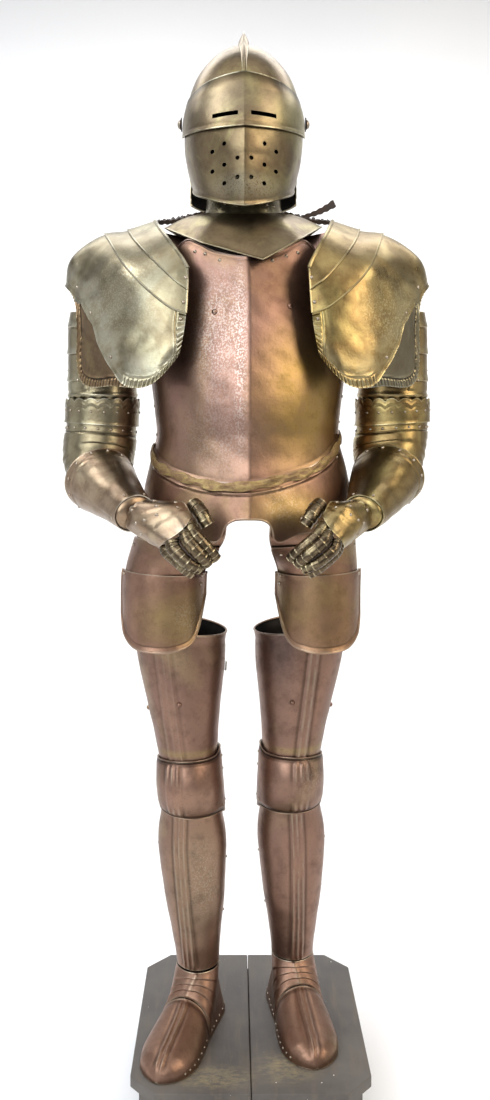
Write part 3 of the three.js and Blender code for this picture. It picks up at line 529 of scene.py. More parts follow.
FOOT = [[60, 46, 66], [100, 50, 51], [140, 50, 40], [168, 42, 33], [184, 29, 26], [192, 17, 17], [196, 7, 8],
        [197.5, 0.6, 1.5]]
FEET = {"left": {"x": 91, "y": 6, "splay": 18}, "right": {"x": 90, "y": 48, "splay": 9}}
SOLE = 0.8
TOE = {"from": 66, "long": 131.4}
SHOE = {"half": 46, "front": 62, "heel": 68, "arch": 66, "top": 104}
STRIDE = {"left": -20, "right": 18}  # one leg stands a little in front of the other
LEG = [[70, 89, 22, 41, 44, 46], [105, 89, 20, 38, 40, 43], [150, 90, 14, 42, 44, 51], [230, 91, 6, 53, 50, 67],
       [310, 92, 0, 60, 54, 73], [350, 92, -2, 61, 56, 71], [400, 92, -4, 54, 55, 60], [459, 94, -8, 49, 57, 54],
       [520, 98, -6, 55, 61, 59], [600, 104, -2, 67, 72, 70], [671, 109, 2, 79, 80, 78], [735, 114, 4, 84, 84, 80],
       [770, 116, 4, 86, 86, 82]]
SIDES = (("left", -1), ("right", 1))


def on_foot(side, sideways, forward, height):
    foot = FEET[side]
    return point(foot["x"] + sideways * cos(foot["splay"]) + forward * sin(foot["splay"]),
                 foot["y"] + sideways * sin(foot["splay"]) - forward * cos(foot["splay"]), height)


def flutes(across, count, pitch, height):
    """Ridges side by side, pressed out of the sheet, with a shallow valley outside the last ones."""
    middles = [(k - (count - 1) / 2) * pitch for k in range(count)]
    ridges = sum(hump(across, m, pitch * 0.30) for m in middles)
    valleys = hump(across, -count * pitch / 2 - 1, pitch * 0.4) + hump(across, count * pitch / 2 + 1, pitch * 0.4)
    return height * ridges - 0.35 * height * valleys


for side, sign in SIDES:
    def toe_cap(u, v, side=side):
        angle = -90 + 180 * u
        forward = TOE["from"] + TOE["long"] * np.sin(np.pi / 2 * (1 - v))
        row = between(FOOT, forward)
        arch = np.maximum(0, cos(angle)) ** 0.75
        return on_foot(side, row[..., 1] * sin(angle), forward, SOLE + row[..., 2] * arch)

    def toe_ridges(u, v, edges, side=side):
        forward = TOE["from"] + TOE["long"] * np.sin(np.pi / 2 * (1 - v))
        across = between(FOOT, forward)[..., 1] * sin(-90 + 180 * u)
        fade = smooth(forward, 62, 84) * (1 - smooth(forward, 184, 194))
        seam = -0.9 * hump(edges["top"], 5, 1.6)
        return fade * flutes(across, 2, 9, 2.0) + seam

    cap = Plate(sign)
    cap.wall(toe_cap, lines((0, 1, 44), (0.40, 0.60, 40)), edged(46), relief=toe_ridges)
    cap.roll(toe_cap, np.linspace(0.01, 0.99, 60), 1.0, 1.3, 0.7)
    for u in (0.004, 0.996):
        cap.roll(toe_cap, u, np.linspace(0.12, 0.99, 50), 1.2, 0.5)
    cap.rivets(toe_cap, [(0.045, v) for v in np.linspace(0.42, 0.9, 7)], radius=2.2, height=1.5)
    cap.make(f"sabaton_toe_{side}", LEG_METALS, "russet_steel")

    def heel_piece(u, v, side=side):
        angle = -180 + 360 * u
        size = np.abs(angle)
        turn = np.minimum(1, size / 60)
        past = np.maximum(0, (size - 60) / 120)
        forward = (SHOE["front"] - SHOE["heel"]) / 2 + (SHOE["front"] + SHOE["heel"]) / 2 * np.cos(np.pi * past)
        round_ = np.sqrt(np.maximum(0, 1 - (np.maximum(0, -forward - 12) / (SHOE["heel"] - 12)) ** 2))
        across = np.sign(angle) * SHOE["half"] * np.sin(turn * np.pi / 2) * round_
        arch = SHOE["arch"] * np.maximum(0, np.cos(turn * np.pi / 2)) ** 0.75
        bottom = on_foot(side, across, forward, SOLE + arch)
        up_angle = np.sign(angle) * np.where(past > 0, 72 + 108 * past, 72 * turn)
        collar = on_tube(LEG, np.full(u.shape, SHOE["top"], float), up_angle)
        collar[..., 1] += STRIDE[side]
        return bottom + (collar - bottom) * (v[..., None] ** 0.85)

    def instep(u, v, edges, side=side):
        angle = -180 + 360 * u
        front = 1 - smooth(np.abs(angle), 52, 78)
        step = (v * 4.2 + 0.10 * hump(angle, 0, 7)) % 1
        lames = 1.5 * (1 - step) - 1.1 * hump(step, 0.02, 0.05)
        ridge = 1.3 * hump(angle, 0, 4.5) * front
        seam = -1.0 * hump(np.abs(angle), 96, 1.5) * (1 - front)
        return (front * lames + ridge + seam) * (1 - smooth(v, 0.93, 1)) * smooth(v, -0.03, 0.05)

    shoe = Plate(sign)
    shoe.wall(heel_piece, lines((0, 1, 80), (0.45, 0.55, 30)), lines((0, 1, 76), (0, 0.03, 3)),
              relief=instep, ring=True)
    shoe.rivets(heel_piece, [(u, 0.06) for u in np.linspace(0.12, 0.32, 7)], radius=2.2, height=1.5)
    shoe.make(f"sabaton_shoe_{side}", LEG_METALS, "russet_steel")


# ==== greaves, poleyns and cuisses ================================================================
# The leg plates, raised from one sheet each and lacquered red-brown. Three narrow flutes run down the front of
# the greave and the thigh plate and over the knee cap, whose inner side spreads into a small riveted wing.
# The greave and cuisse close behind with hidden hinges; studs at mid thigh hold the straps inside.
GREAVE = {"foot": 108, "tall": 316}
CUISSE = {"foot": 480, "tall": 254, "tilt": 12}
KNEE = {"z": 452, "reach": 52, "bulge": 15, "clear": 4.5, "from": -150, "turn": 262, "middle": (92, -8)}
BUCKLE = {"from": (0.236, 0.70), "to": (0.256, 0.765), "lift": 3.0, "thick": 3.0}
FLUTE_TURN = {"left": 20, "right": 9}  # the flutes point outwards with the toes


def striding(side):
    def move(points):
        points[:, 1] += STRIDE[side] * np.maximum(0, 1 - points[:, 2] / 1100)
        return points
    return move


for side, sign in SIDES:
    def shin(u, v):
        return on_tube(LEG, GREAVE["foot"] + GREAVE["tall"] * v, -180 + 360 * u)

    def shin_relief(u, v, edges, side=side):
        angle, height = -180 + 360 * u, GREAVE["foot"] + GREAVE["tall"] * v
        across = between(LEG, height)[..., 3] * sin(angle - FLUTE_TURN[side])
        front = (cos(angle - FLUTE_TURN[side]) > 0) * flutes(across, 3, 8.6, 2.3)
        seams = -0.9 * (hump(angle, 98, 1.0) + hump(angle, -98, 1.0))
        rim = 1.4 * hump(height, GREAVE["foot"] + GREAVE["tall"], 5)
        return front * smooth(height, 104, 118) + seams + rim

    greave = Plate(sign, striding(side))
    turn = FLUTE_TURN[side] / 360
    greave.wall(shin, lines((0, 1, 76), (0.44 + turn, 0.56 + turn, 52), (0.22, 0.235, 6), (0.765, 0.78, 6)),
                edged(64), relief=shin_relief, ring=True)
    greave.roll(shin, np.linspace(0, 1, 90)[:-1], 0.998, 1.5, 0.8, closed=True)
    greave.rivets(shin, [(0.24, 0.30), (0.24, 0.62), (0.765, 0.4), (0.765, 0.7)], radius=2.4, height=2.2)
    greave.make(f"greave_{side}", LEG_METALS, "russet_steel")

    def knee(u, v):
        angle = KNEE["from"] + KNEE["turn"] * u
        inner = smooth(-angle, 55, 100) * smooth(angle - KNEE["from"], 0, 30)
        height = KNEE["z"] + (2 * v - 1) * (KNEE["reach"] - 14 * np.abs(2 * u - 1) ** 2 + 12 * inner)
        on_leg = on_tube(LEG, height, angle)
        away = on_leg - point(*KNEE["middle"], height)
        away /= np.linalg.norm(away, axis=-1)[..., None]
        round_ = np.maximum(0, cos(angle * 0.8))
        swell = KNEE["bulge"] * np.sin(np.pi * np.clip(v, 0, 1)) ** 0.8 * round_ + 2 * inner
        return on_leg + away * (KNEE["clear"] + swell)[..., None]

    def knee_relief(u, v, edges, side=side):
        angle = KNEE["from"] + KNEE["turn"] * u
        across = 58 * sin(angle - FLUTE_TURN[side] - 4)
        strength = 0.35 + 0.65 * (smooth(v, 0.58, 0.72) + (1 - smooth(v, 0.1, 0.3)))
        ends = smooth(v, 0.03, 0.09) * (1 - smooth(v, 0.9, 0.96))
        front = (np.abs(angle) < 70) * flutes(across, 3, 9.5, 2.2) * strength * ends
        bands = -0.9 * (hump(v, 0.93, 0.012) + hump(v, 0.07, 0.012)) \
            - 2.2 * smooth(np.abs(2 * v - 1), 0.86, 1)
        wing = smooth(-angle, 62, 70)
        shell = 1.6 * wing * np.sin(np.pi * v) ** 2 * np.sin(angle * 0.6) ** 2 - 0.9 * hump(angle, -62, 1.4)
        return front + bands + shell

    cap = Plate(sign, striding(side))
    cap.wall(knee, lines((0, 1, 70), (0.52, 0.72, 60)), edged(60, 0.04), relief=knee_relief)
    for v in (0.0, 1.0):
        cap.roll(knee, np.linspace(0, 1, 80), v, 1.1, 0.4)
    cap.rivets(knee, [(0.12, 0.84), (0.24, 0.88), (0.24, 0.68), (0.1, 0.2), (0.2, 0.14), (0.3, 0.12),
                      (0.93, 0.86), (0.93, 0.14)], radius=2.6, height=2.0)
    cap.make(f"poleyn_{side}", LEG_METALS, "russet_steel")

    def thigh(u, v):
        angle = -180 + 360 * u
        height = CUISSE["foot"] + (CUISSE["tall"] + CUISSE["tilt"] * sin(angle)) * v
        flare = 3.0 * smooth(v, 0.93, 1.0)
        body = on_tube(LEG, height, angle)
        return body + point(sin(angle), -cos(angle), 0.0) * flare[..., None]

    def thigh_relief(u, v, edges, side=side):
        angle = -180 + 360 * u
        half = between(LEG, CUISSE["foot"] + CUISSE["tall"] * v)[..., 3]
        across = half * sin(angle - 15 - 5 * (side == "left"))
        count, height = (2, 2.3) if side == "right" else (3, 1.3)
        front = (np.abs(angle) < 80) * flutes(across, count, 11, height) * (1 - smooth(v, 0.90, 0.97))
        return front - 0.9 * (hump(angle, 112, 1.0) + hump(angle, -112, 1.0))

    cuisse = Plate(sign, striding(side))
    cuisse.wall(thigh, lines((0, 1, 80), (0.49, 0.61, 44)), edged(56), relief=thigh_relief, ring=True)
    cuisse.roll(thigh, np.linspace(0, 1, 110)[:-1], 1.0, 1.9, 0.8, closed=True)
    cuisse.rivets(thigh, [(0.51 if side == "left" else 0.475, 0.50), (0.735, 0.39)],
                  radius=4.6, height=4.2, kind=0)
    if side == "left":
        def buckle(u, v):
            (u0, v0), (u1, v1) = BUCKLE["from"], BUCKLE["to"]
            return thigh(u0 + (u1 - u0) * u, v0 + (v1 - v0) * v)
        cuisse.wall(buckle, np.linspace(0, 1, 5), np.linspace(0, 1, 7), lift=BUCKLE["lift"],
                    thick=BUCKLE["thick"], dents=0, kind=1)
    cuisse.rivets(thigh, [(0.28, 0.90), (0.28, 0.80), (0.28, 0.72), (0.74, 0.9)], radius=2.2, height=1.8)
    cuisse.make(f"cuisse_{side}", LEG_METALS, "russet_steel")


# ==== backplate, breastplate and waist strip ======================================================
# The breast is one sheet raised over a stake to a sharp middle keel, its neck and arm edges rolled; two big
# domed rivets a side hold the inner straps. The back is plainer. A crumpled strip of gilt leather is tied
# round the waist over the joint with the fauld.
TRUNK = [[895, 0, 0, 198, 182, 134], [940, 0, 0, 194, 178, 130], [985, 0, 0, 186, 170, 126],
         [1035, 0, 0, 175, 160, 118], [1083, 0, 0, 163, 160, 110], [1130, 0, 0, 166, 166, 116],
         [1200, 0, 0, 174, 164, 126], [1280, 0, 0, 176, 152, 130], [1350, 0, 0, 168, 140, 126],
         [1410, 0, 0, 150, 126, 112], [1460, 0, 0, 130, 112, 100]]
TRUNK_KEEL = (12, 26)
LAPPED = 4.5  # the front plates stand this far outside the back ones
BREAST_TOP = [[0, 1392], [20, 1404], [36, 1424], [47, 1430], [58, 1404], [70, 1330], [88, 1272]]
BACK_TOP = [[0, 1428], [25, 1440], [50, 1442], [62, 1404], [76, 1326], [100, 1268]]


def waist(angle):
    return 1078 - 74 * np.maximum(0, cos(angle)) ** 1.3 + 14 * sin(angle)


def edge_height(table, angle):
    return between(table, np.abs(angle))[..., 1]


# On the breast, the bright places on the left half are rubbed steel with painted highlight, and the narrow one beside
# the keel is painted highlight only. The golden patch on the right half is a painted warm reflection.
BREAST_RUSSET = steel("russet_breast_steel", [(154, 120, 106), (140, 110, 98), (152, 124, 98)], (196, 186, 178),
                      (96, 72, 60), rough=(0.33, 0.44), speck=0.02, cloud=0.24,
                      wear_and_highlights=[((-0.05, -0.15, 1.40), (0.07, 0.09, 0.14), 0.42),
                            ((-0.012, -0.16, 1.36), (0.015, 0.08, 0.2), 0.5),
                            ((-0.05, -0.15, 1.22), (0.10, 0.08, 0.10), 0.2)],
                      tints_and_painted_light=[((0.10, -0.12, 1.28), (0.12, 0.2, 0.17), 0.9, (158, 132, 74)),
                              ((0.09, -0.12, 1.48), (0.12, 0.2, 0.09), 0.75, (110, 82, 66)),
                              ((-0.05, -0.12, 1.16), (0.16, 0.2, 0.09), 0.5, (138, 112, 90))])
BREAST_METALS = (BREAST_RUSSET, LEG_RIVET, INSIDE)


def breast(u, v):
    angle = -88 + 176 * u
    low, high = waist(angle) + 1.5, edge_height(BREAST_TOP, angle)
    return on_tube(TRUNK, low + (high - low) * v, angle, *TRUNK_KEEL)


def breast_relief(u, v, edges):
    flange = 2.2 * (1 - smooth(edges["bottom"], 0, 7))
    return flange - 0.7 * hump(edges["bottom"], 9, 2) - 0.6 * hump(edges["top"], 6, 2) * (np.abs(u - 0.5) < 0.4)


breastplate = Plate()
breastplate.wall(breast, lines((0, 1, 92), (0.47, 0.53, 24)), edged(92), lift=LAPPED,
                 relief=breast_relief, dents=0.6)
breastplate.roll(breast, np.linspace(0, 1, 150), 1.0, 2.3, LAPPED + 0.8)
for end in (0.0, 1.0):
    breastplate.roll(breast, end, np.linspace(0, 1, 50), 1.5, LAPPED + 0.8)
breastplate.rivets(breast, [(0.393, 0.735), (0.632, 0.745)], LAPPED + SHEET, 5.2, 4.4, kind=0)
breastplate.rivets(breast, [(0.345, 0.972), (0.405, 0.968), (0.587, 0.968), (0.645, 0.965), (0.30, 0.962),
                            (0.70, 0.955)], LAPPED + SHEET, 3.4, 2.4)
breastplate.rivets(breast, [(u, v) for u in (0.03, 0.97) for v in (0.12, 0.36, 0.6, 0.84)],
                   LAPPED + SHEET, 2.8, 2.0)
breastplate.make("breastplate", BREAST_METALS, "russet_steel")


def back(u, v):
    angle = 84 + 192 * u
    low, high = waist(angle) + 1.5, edge_height(BACK_TOP, angle - 180)
    return on_tube(TRUNK, low + (high - low) * v, angle)


def back_relief(u, v, edges):
    spine = -1.6 * hump(u, 0.5, 0.02) * smooth(v, 0.02, 0.2) * (1 - smooth(v, 0.8, 1))
    blades = 2.2 * (hump(u, 0.32, 0.10) + hump(u, 0.68, 0.10)) * hump(v, 0.68, 0.2)
    return 1.6 + spine + blades - 1.6 * smooth(np.abs(u - 0.5), 0.40, 0.46)


backplate = Plate()
backplate.wall(back, edged(84), edged(70), relief=back_relief, dents=0.5)
backplate.roll(back, np.linspace(0.02, 0.98, 130), 1.0, 2.2, 1.2)
backplate.rivets(back, [(u, v) for u in (0.10, 0.90) for v in (0.15, 0.5, 0.85)], 3.2, 3.0, 2.2)
backplate.make("backplate", BREAST_METALS, "russet_steel")


def gilt_leather():
    made, tree, shader = new_material("gilt_leather_strip")
    clouds = grain(tree, 0.03, 6, 0.7, warp=1.2, stretch=(1, 1, 2.5))
    coat = blended(tree, ramp(tree, clouds, 0.40, 0.60), rgb(128, 100, 74), rgb(156, 134, 86))
    coat = blended(tree, ramp(tree, clouds, 0.60, 0.74), coat, rgb(180, 164, 108))
    coat = blended(tree, ramp(tree, grain(tree, 0.009, 5, 0.7), 0.50, 0.70, 0, 0.55), coat, rgb(104, 78, 58))
    tree.links.new(coat, shader.inputs["Base Color"])
    shader.inputs["Metallic"].default_value = 0.55
    tree.links.new(ramp(tree, clouds, 0.3, 0.7, 0.58, 0.40), shader.inputs["Roughness"])
    creases = bumped(tree, grain(tree, 0.012, 5, 0.7, warp=2), 0.0016, 0.8)
    tree.links.new(creases, shader.inputs["Normal"])
    return made


GILT_LEATHER = gilt_leather()


def strip(u, v):
    angle = -180 + 360 * u
    sag = 3.5 * np.sin(np.radians(angle * 7)) * cos(angle * 0.5)
    high = 9 - 3 * np.sin(np.radians(angle * 11 + 40)) ** 2
    return on_tube(TRUNK, waist(angle) - 3 + sag * 0.5 + (2 * v - 1) * high, angle, *TRUNK_KEEL)


def crumples(u, v, edges):
    angle = -180 + 360 * u
    folds = 0.9 * np.sin(np.radians(angle * 13) + 5 * v) + 0.8 * np.sin(np.radians(angle * 29) - 7 * v)
    knot = 9.5 * hump(angle, 9, 2.6) * hump(v, 0.75, 0.3) + 5 * hump(angle, 3, 2.5) * hump(v, 0.45, 0.3)
    return folds * (0.5 + 0.5 * np.sin(np.radians(angle * 2.3 + 60))) + knot + 1.2 * np.sin(np.pi * v)


belt = Plate()
belt.wall(strip, lines((0, 1, 330)), np.linspace(0, 1, 12), lift=LAPPED + 4.6, thick=1.8, relief=crumples, ring=True,
          dents=0.5)
belt.make("waist_belt", (GILT_LEATHER, LEG_RIVET, GILT_LEATHER), "belt_strip")


# ==== fauld and tassets ===========================================================================
# The skirt hangs from the waist in two plates with a wired edge round the crotch arch. Below it three lames a
# side slide on straps over each thigh, each edge cut square and rough; the lowest ends in a wide rolled hem.
FAULD_HEM = [[0, 947], [6, 945.5], [9.5, 940], [11.5, 930], [12.8, 914], [15.5, 908], [20, 913], [26, 920], [60, 921],
             [88, 924]]
TASSET = {"middle": 139, "half": 67, "depth": 78, "y": -44, "top": 936, "upper": 896, "lower": 840, "lap": 5}
TASSET_FROM, TASSET_TO = 11, 80
TASSET_HEM = [[0, 800], [0.2, 730], [0.38, 713], [0.56, 711], [0.74, 716], [0.9, 735], [1, 764]]
SKIRT_RUSSET = steel("russet_skirt_steel", [(152, 120, 100), (136, 106, 90), (152, 128, 94)], (190, 178, 158),
                     (90, 66, 52), rough=(0.36, 0.48), cloud=0.18,
                     wear_and_highlights=[((-0.085, -0.12, 0.90), (0.06, 0.1, 0.05), 0.4),
                           ((0.06, -0.17, 1.10), (0.05, 0.1, 0.04), 0.3)],
                     tints_and_painted_light=[((0.07, -0.15, 1.09), (0.09, 0.2, 0.05), 0.8, (152, 130, 78)),
                             ((-0.12, -0.12, 0.90), (0.09, 0.2, 0.06), 0.5, (150, 132, 84)),
                             ((0.14, -0.12, 0.90), (0.10, 0.2, 0.10), 0.6, (138, 112, 74)),
                             ((0.05, -0.12, 1.04), (0.06, 0.2, 0.06), 0.6, (96, 74, 64))])
SKIRT_METALS = (SKIRT_RUSSET, LEG_RIVET, INSIDE)


def skirt(u, v):
    angle = -88 + 176 * u
    low, high = edge_height(FAULD_HEM, angle), waist(angle) - 1.5
    return on_tube(TRUNK, low + (high - low) * v, angle, *TRUNK_KEEL)


def skirt_relief(u, v, edges):
    beads = 1.6 * hump(edges["top"], 14, 2.2) - 0.9 * hump(edges["top"], 18, 1.4)
    side_seams = -0.9 * (hump(u, 0.075, 0.004) + hump(u, 0.925, 0.004))
    return beads + side_seams


fauld = Plate()
fauld.wall(skirt, lines((0, 1, 92), (0.40, 0.60, 90)), edged(60), lift=LAPPED, relief=skirt_relief, dents=0.5)
arch = np.linspace(0.40, 0.60, 110)
fauld.roll(skirt, arch, 0.0, 2.0, LAPPED + 0.6)
fauld.rivets(skirt, [(0.37, 0.25), (0.655, 0.25)], LAPPED + SHEET, 4.6, 3.4)
fauld.rivets(skirt, [(0.11, 0.86), (0.86, 0.88)], LAPPED + SHEET, 3.4, 2.4)
fauld.make("fauld_front", SKIRT_METALS, "russet_steel")


def rear_skirt(u, v):
    angle = 84 + 192 * u
    return on_tube(TRUNK, 925 + (waist(angle) - 1.5 - 925) * v, angle)


rear = Plate()
rear.wall(rear_skirt, edged(84), edged(40), relief=lambda u, v, edges: -0.8 * hump(u, 0.5, 0.006)
          + 1.4 * hump(edges["top"], 14, 2.2) * smooth(np.minimum(u, 1 - u), 0.06, 0.1))
rear.roll(rear_skirt, np.linspace(0.02, 0.98, 120), 0.0, 2.2, 0.8)
rear.rivets(rear_skirt, [(0.12, 0.8), (0.88, 0.8), (0.12, 0.3), (0.88, 0.3)], SHEET, 3.0, 2.2)
rear.make("fauld_back", SKIRT_METALS, "russet_steel")


def tasset_surface(height, angle):
    on_fauld = on_tube(TRUNK, np.maximum(height, 895), angle, *TRUNK_KEEL)
    on_fauld[..., 2] = height
    turn = -80 + 160 * (angle - TASSET_FROM) / (TASSET_TO - TASSET_FROM)
    on_thigh = point(TASSET["middle"] + TASSET["half"] * sin(turn),
                     TASSET["y"] - TASSET["depth"] * cos(turn), height)
    return on_fauld + (on_thigh - on_fauld) * (1 - smooth(height, 830, 925))[..., None]


def lame(low, high):
    def surface(u, v):
        angle = TASSET_FROM + (TASSET_TO - TASSET_FROM) * u
        bottom = low(u) if callable(low) else low
        return tasset_surface(bottom + (high - bottom) * v, angle)
    return surface


def rough_cut(depth):
    """A lame's lower edge, torn a little by the shears and filed."""
    def relief(u, v, edges):
        ragged = 0.5 * np.sin(u * 83) + 0.4 * np.sin(u * 41 + 2)
        return 0.7 * (1 - smooth(edges["bottom"], 0, depth)) * (1 + 0.5 * ragged)
    return relief


for side, sign in SIDES:
    top, upper, lower, lap = (TASSET[key] for key in ("top", "upper", "lower", "lap"))
    places = edged(50)
    piece = Plate(sign)
    surface = lame(upper - lap, top)
    piece.wall(surface, places, edged(20, 0.05), lift=0.5, relief=rough_cut(3))
    piece.roll(surface, 0.0, np.linspace(0, 1, 12), 1.7, 1.2)
    piece.make(f"tasset_{side}_upper", SKIRT_METALS, "russet_steel")

    piece = Plate(sign)
    surface = lame(lower - lap, upper + lap)
    piece.wall(surface, places, edged(24, 0.05), lift=LAPPED - 0.5, relief=rough_cut(3))
    piece.roll(surface, 0.0, np.linspace(0, 0.94, 16), 1.7, LAPPED + 0.3)
    piece.rivets(surface, [(0.08, 0.78), (0.93, 0.8)], LAPPED - 0.5 + SHEET, 3.2, 2.2)
    piece.make(f"tasset_{side}_middle", SKIRT_METALS, "russet_steel")

    piece = Plate(sign)
    surface = lame(lambda u: between(TASSET_HEM, u)[..., 1], lower + lap)
    lift = 2 * LAPPED - 1.5
    piece.wall(surface, places, edged(60), lift=lift, relief=lambda u, v, edges:
               1.8 * smooth(np.minimum(np.minimum(edges["bottom"], edges["start"]), edges["end"]), 8, 0)
               - 0.8 * hump(np.minimum(np.minimum(edges["bottom"], edges["start"]), edges["end"]), 9, 1.6))
    around_u = np.concatenate([np.zeros(24), np.linspace(0, 1, 70)[1:-1], np.ones(24)])
    around_v = np.concatenate([np.linspace(1, 0, 24), np.zeros(68), np.linspace(0, 1, 24)])
    piece.roll(surface, around_u, around_v, 2.7, lift + 1.6)
    piece.rivets(surface, [(0.09, 0.93), (0.93, 0.94)], lift + SHEET, 3.4, 2.6)
    piece.rivets(surface, [(0.10, 0.70)] if side == "left" else [(0.08, 0.68)], lift + SHEET, 3.6, 2.6)
    piece.make(f"tasset_{side}_lower", SKIRT_METALS, "russet_steel")


# ==== gorget ======================================================================================
# A standing collar with an out-turned lip, riveted inside a broad sloping plate that comes to a point on the
# breast. Both are steel under an olive-brown lacquer, which the collar has mostly lost.
COLLAR = [[1470, 0, 12, 80, 88, 80], [1490, 0, 12, 72, 79, 73], [1520, 0, 12, 68, 73, 70], [1556, 0, 12, 70, 75, 72]]
GORGET_EDGE = [[0, 142, 1424], [-80, 118, 1446], [-132, 62, 1474], [-146, -14, 1470], [-80, -116, 1424],
               [26, -168, 1384], [96, -112, 1430], [144, -14, 1472], [132, 62, 1474], [80, 118, 1446], [0, 142, 1424]]
# The bright yellow patch on the skull's right side is a painted highlight.
OLIVE = steel("olive_lacquered_steel", [(132, 118, 90), (114, 98, 76), (144, 134, 96)], (200, 196, 172),
              (74, 62, 42), rough=(0.29, 0.40), cloud=0.10, speck=0.12,
              wear_and_highlights=[((0, -0.07, 1.655), (0.08, 0.12, 0.03), 0.35)],
              tints_and_painted_light=[((0, -0.1, 1.80), (0.2, 0.3, 0.05), 0.5, (128, 118, 100)),
                      ((0.09, -0.05, 1.78), (0.05, 0.2, 0.06), 0.7, (168, 160, 116))])
OLIVE_METALS = (OLIVE, LEG_RIVET, INSIDE)
COLLAR_STEEL = steel("bare_collar_steel", [(158, 152, 128), (128, 118, 92), (176, 170, 142)], (226, 222, 204),
                     (88, 74, 50), rough=(0.24, 0.36), cloud=0.07)


def collar_wall(u, v):
    return on_tube(COLLAR, 1473 + 79 * v, -180 + 360 * u)


collar = Plate()
collar.wall(collar_wall, lines((0, 1, 80)), edged(24, 0.05), ring=True, relief=lambda u, v, edges:
            1.8 * smooth(v, 0.86, 1) - 0.5 * hump(v, 0.80, 0.03) - 0.8 * hump(u, 0.62, 0.004))
collar.roll(collar_wall, np.linspace(0, 1, 80)[:-1], 0.99, 1.6, 2.4, closed=True)
collar.rivets(collar_wall, [(0.42, 0.42), (0.60, 0.40), (0.64, 0.40)], SHEET, 2.8, 1.8)
collar.make("gorget_collar", (COLLAR_STEEL, LEG_RIVET, INSIDE), "olive_bronzed_steel")


# The plate rises to the collar, and stands higher on it at the sides than in front.
COLLAR_FOOT = {"front": 1484, "side": 16, "clear": 5.2}


def gorget_slope(u, v):
    angle = -180 + 360 * u
    inner = on_tube(COLLAR, COLLAR_FOOT["front"] + COLLAR_FOOT["side"] * sin(angle) ** 2, angle)
    inner = inner + COLLAR_FOOT["clear"] * point(sin(angle), -cos(angle), 0.0)
    corners = np.array(GORGET_EDGE, float)
    place = np.clip(u * 10, 0, 9.99999)
    k = place.astype(int)
    outer = corners[k] + (corners[k + 1] - corners[k]) * (place - k)[..., None]
    made = outer + (inner - outer) * v[..., None]
    made[..., 2] += 5 * np.sin(np.pi * v) - 2 * v
    return made


def slope_at(u, v):
    u, v = np.broadcast_arrays(np.asarray(u, float), np.asarray(v, float))
    return gorget_slope(u, v)


slope = Plate()
slope.wall(slope_at, lines((0, 1, 121)), edged(36), ring=True, relief=lambda u, v, edges:
           0.7 * smooth(edges["bottom"], 4, 0) + 0.8 * hump(u, 0.5, 0.006) * v)
slope.roll(slope_at, np.linspace(0, 1, 121)[:-1], 0.0, 1.2, 0.8, closed=True)
slope.make("gorget_plate", OLIVE_METALS, "olive_bronzed_steel")


# ==== arms ========================================================================================
# Each arm is a closed tube of overlapping plates with two raised rings above the elbow, a scalloped lame,
# a couter whose border is riveted, and a bell cuff. The steel is bronzed, yellower on the right arm.
ARM = [[0, 266, 2, 1375, 46, 44, 0], [70, 272, 4, 1300, 59, 52, 0], [150, 273, 8, 1220, 61, 60, 0],
       [220, 272, 10, 1150, 62, 62, 0], [280, 275, 11, 1090, 61, 60, -3], [325, 278, 2, 1046, 57, 56, -10],
       [375, 268, -30, 1012, 53, 50, -20], [430, 245, -78, 992, 47, 45, -26], [500, 215, -134, 970, 38, 35, -27],
       [565, 186, -184, 953, 31, 26, -27]]
TUCK = {"left": (0, 0, 0), "right": (-14, 0, 8)}
# The bright place on each pauldron is a painted highlight, speckled like rubbed steel.
BRASSY = steel("brassy_bronzed_steel", [(150, 132, 90), (128, 108, 72), (166, 150, 100)], (208, 198, 156),
               (78, 58, 36), rough=(0.26, 0.38), cloud=0.12,
               wear_and_highlights=[((0.27, -0.12, 1.44), (0.1, 0.1, 0.12), 0.5)])
SILVERED = steel("silvered_bronzed_steel", [(148, 142, 120), (132, 122, 98), (160, 154, 128)], (208, 206, 190),
                 (104, 90, 68), rough=(0.27, 0.38), cloud=0.14,
                 wear_and_highlights=[((-0.22, -0.12, 1.46), (0.13, 0.1, 0.12), 0.28)])
# Painted shade: a darker brown copy of the bronzed steel, used for the left pauldron's wing.
UMBER = steel("wing_steel_painted_shade", [(142, 120, 92), (124, 102, 78), (158, 140, 100)], (204, 194, 164),
              (76, 58, 42), rough=(0.28, 0.40), cloud=0.09)
ARM_METALS = {"left": (SILVERED, LEG_RIVET, INSIDE), "right": (BRASSY, LEG_RIVET, INSIDE)}
CUFF_BROWN = steel("bare_brown_cuff_steel", [(164, 144, 122), (146, 124, 102), (176, 160, 134)], (220, 212, 196),
                   (92, 72, 54), rough=(0.27, 0.38), cloud=0.09)
CUFF_METALS = {"left": (CUFF_BROWN, LEG_RIVET, INSIDE), "right": (BRASSY, LEG_RIVET, INSIDE)}


def on_arm(distance, angle, grow=0.0):
    """A point round the arm: angle 0 is the front of the upper arm and the top of the forearm, 90 outside."""
    at = between(ARM, distance)
    beyond, before = np.minimum(565, distance + 2), np.maximum(0, distance - 2)
    ahead = between(ARM, beyond)[..., 1:4] - between(ARM, before)[..., 1:4]
    ahead /= np.linalg.norm(ahead, axis=-1)[..., None]
    side = point(cos(at[..., 6]), sin(at[..., 6]), 0.0)
    side = side - ahead * np.sum(side * ahead, -1)[..., None]
    side /= np.linalg.norm(side, axis=-1)[..., None]
    over = np.cross(ahead, side)
    wide, deep = (at[..., 4] + grow) * sin(angle), (at[..., 5] + grow) * cos(angle)
    return at[..., 1:4] + side * wide[..., None] + over * deep[..., None]


def tucking(side):
    def move(points):
        share = smooth(-points[:, 2], -1130, -1030) * (1 - smooth(-points[:, 1], 40, 170))
        return points + np.array(TUCK[side], float) * share[:, None]
    return move


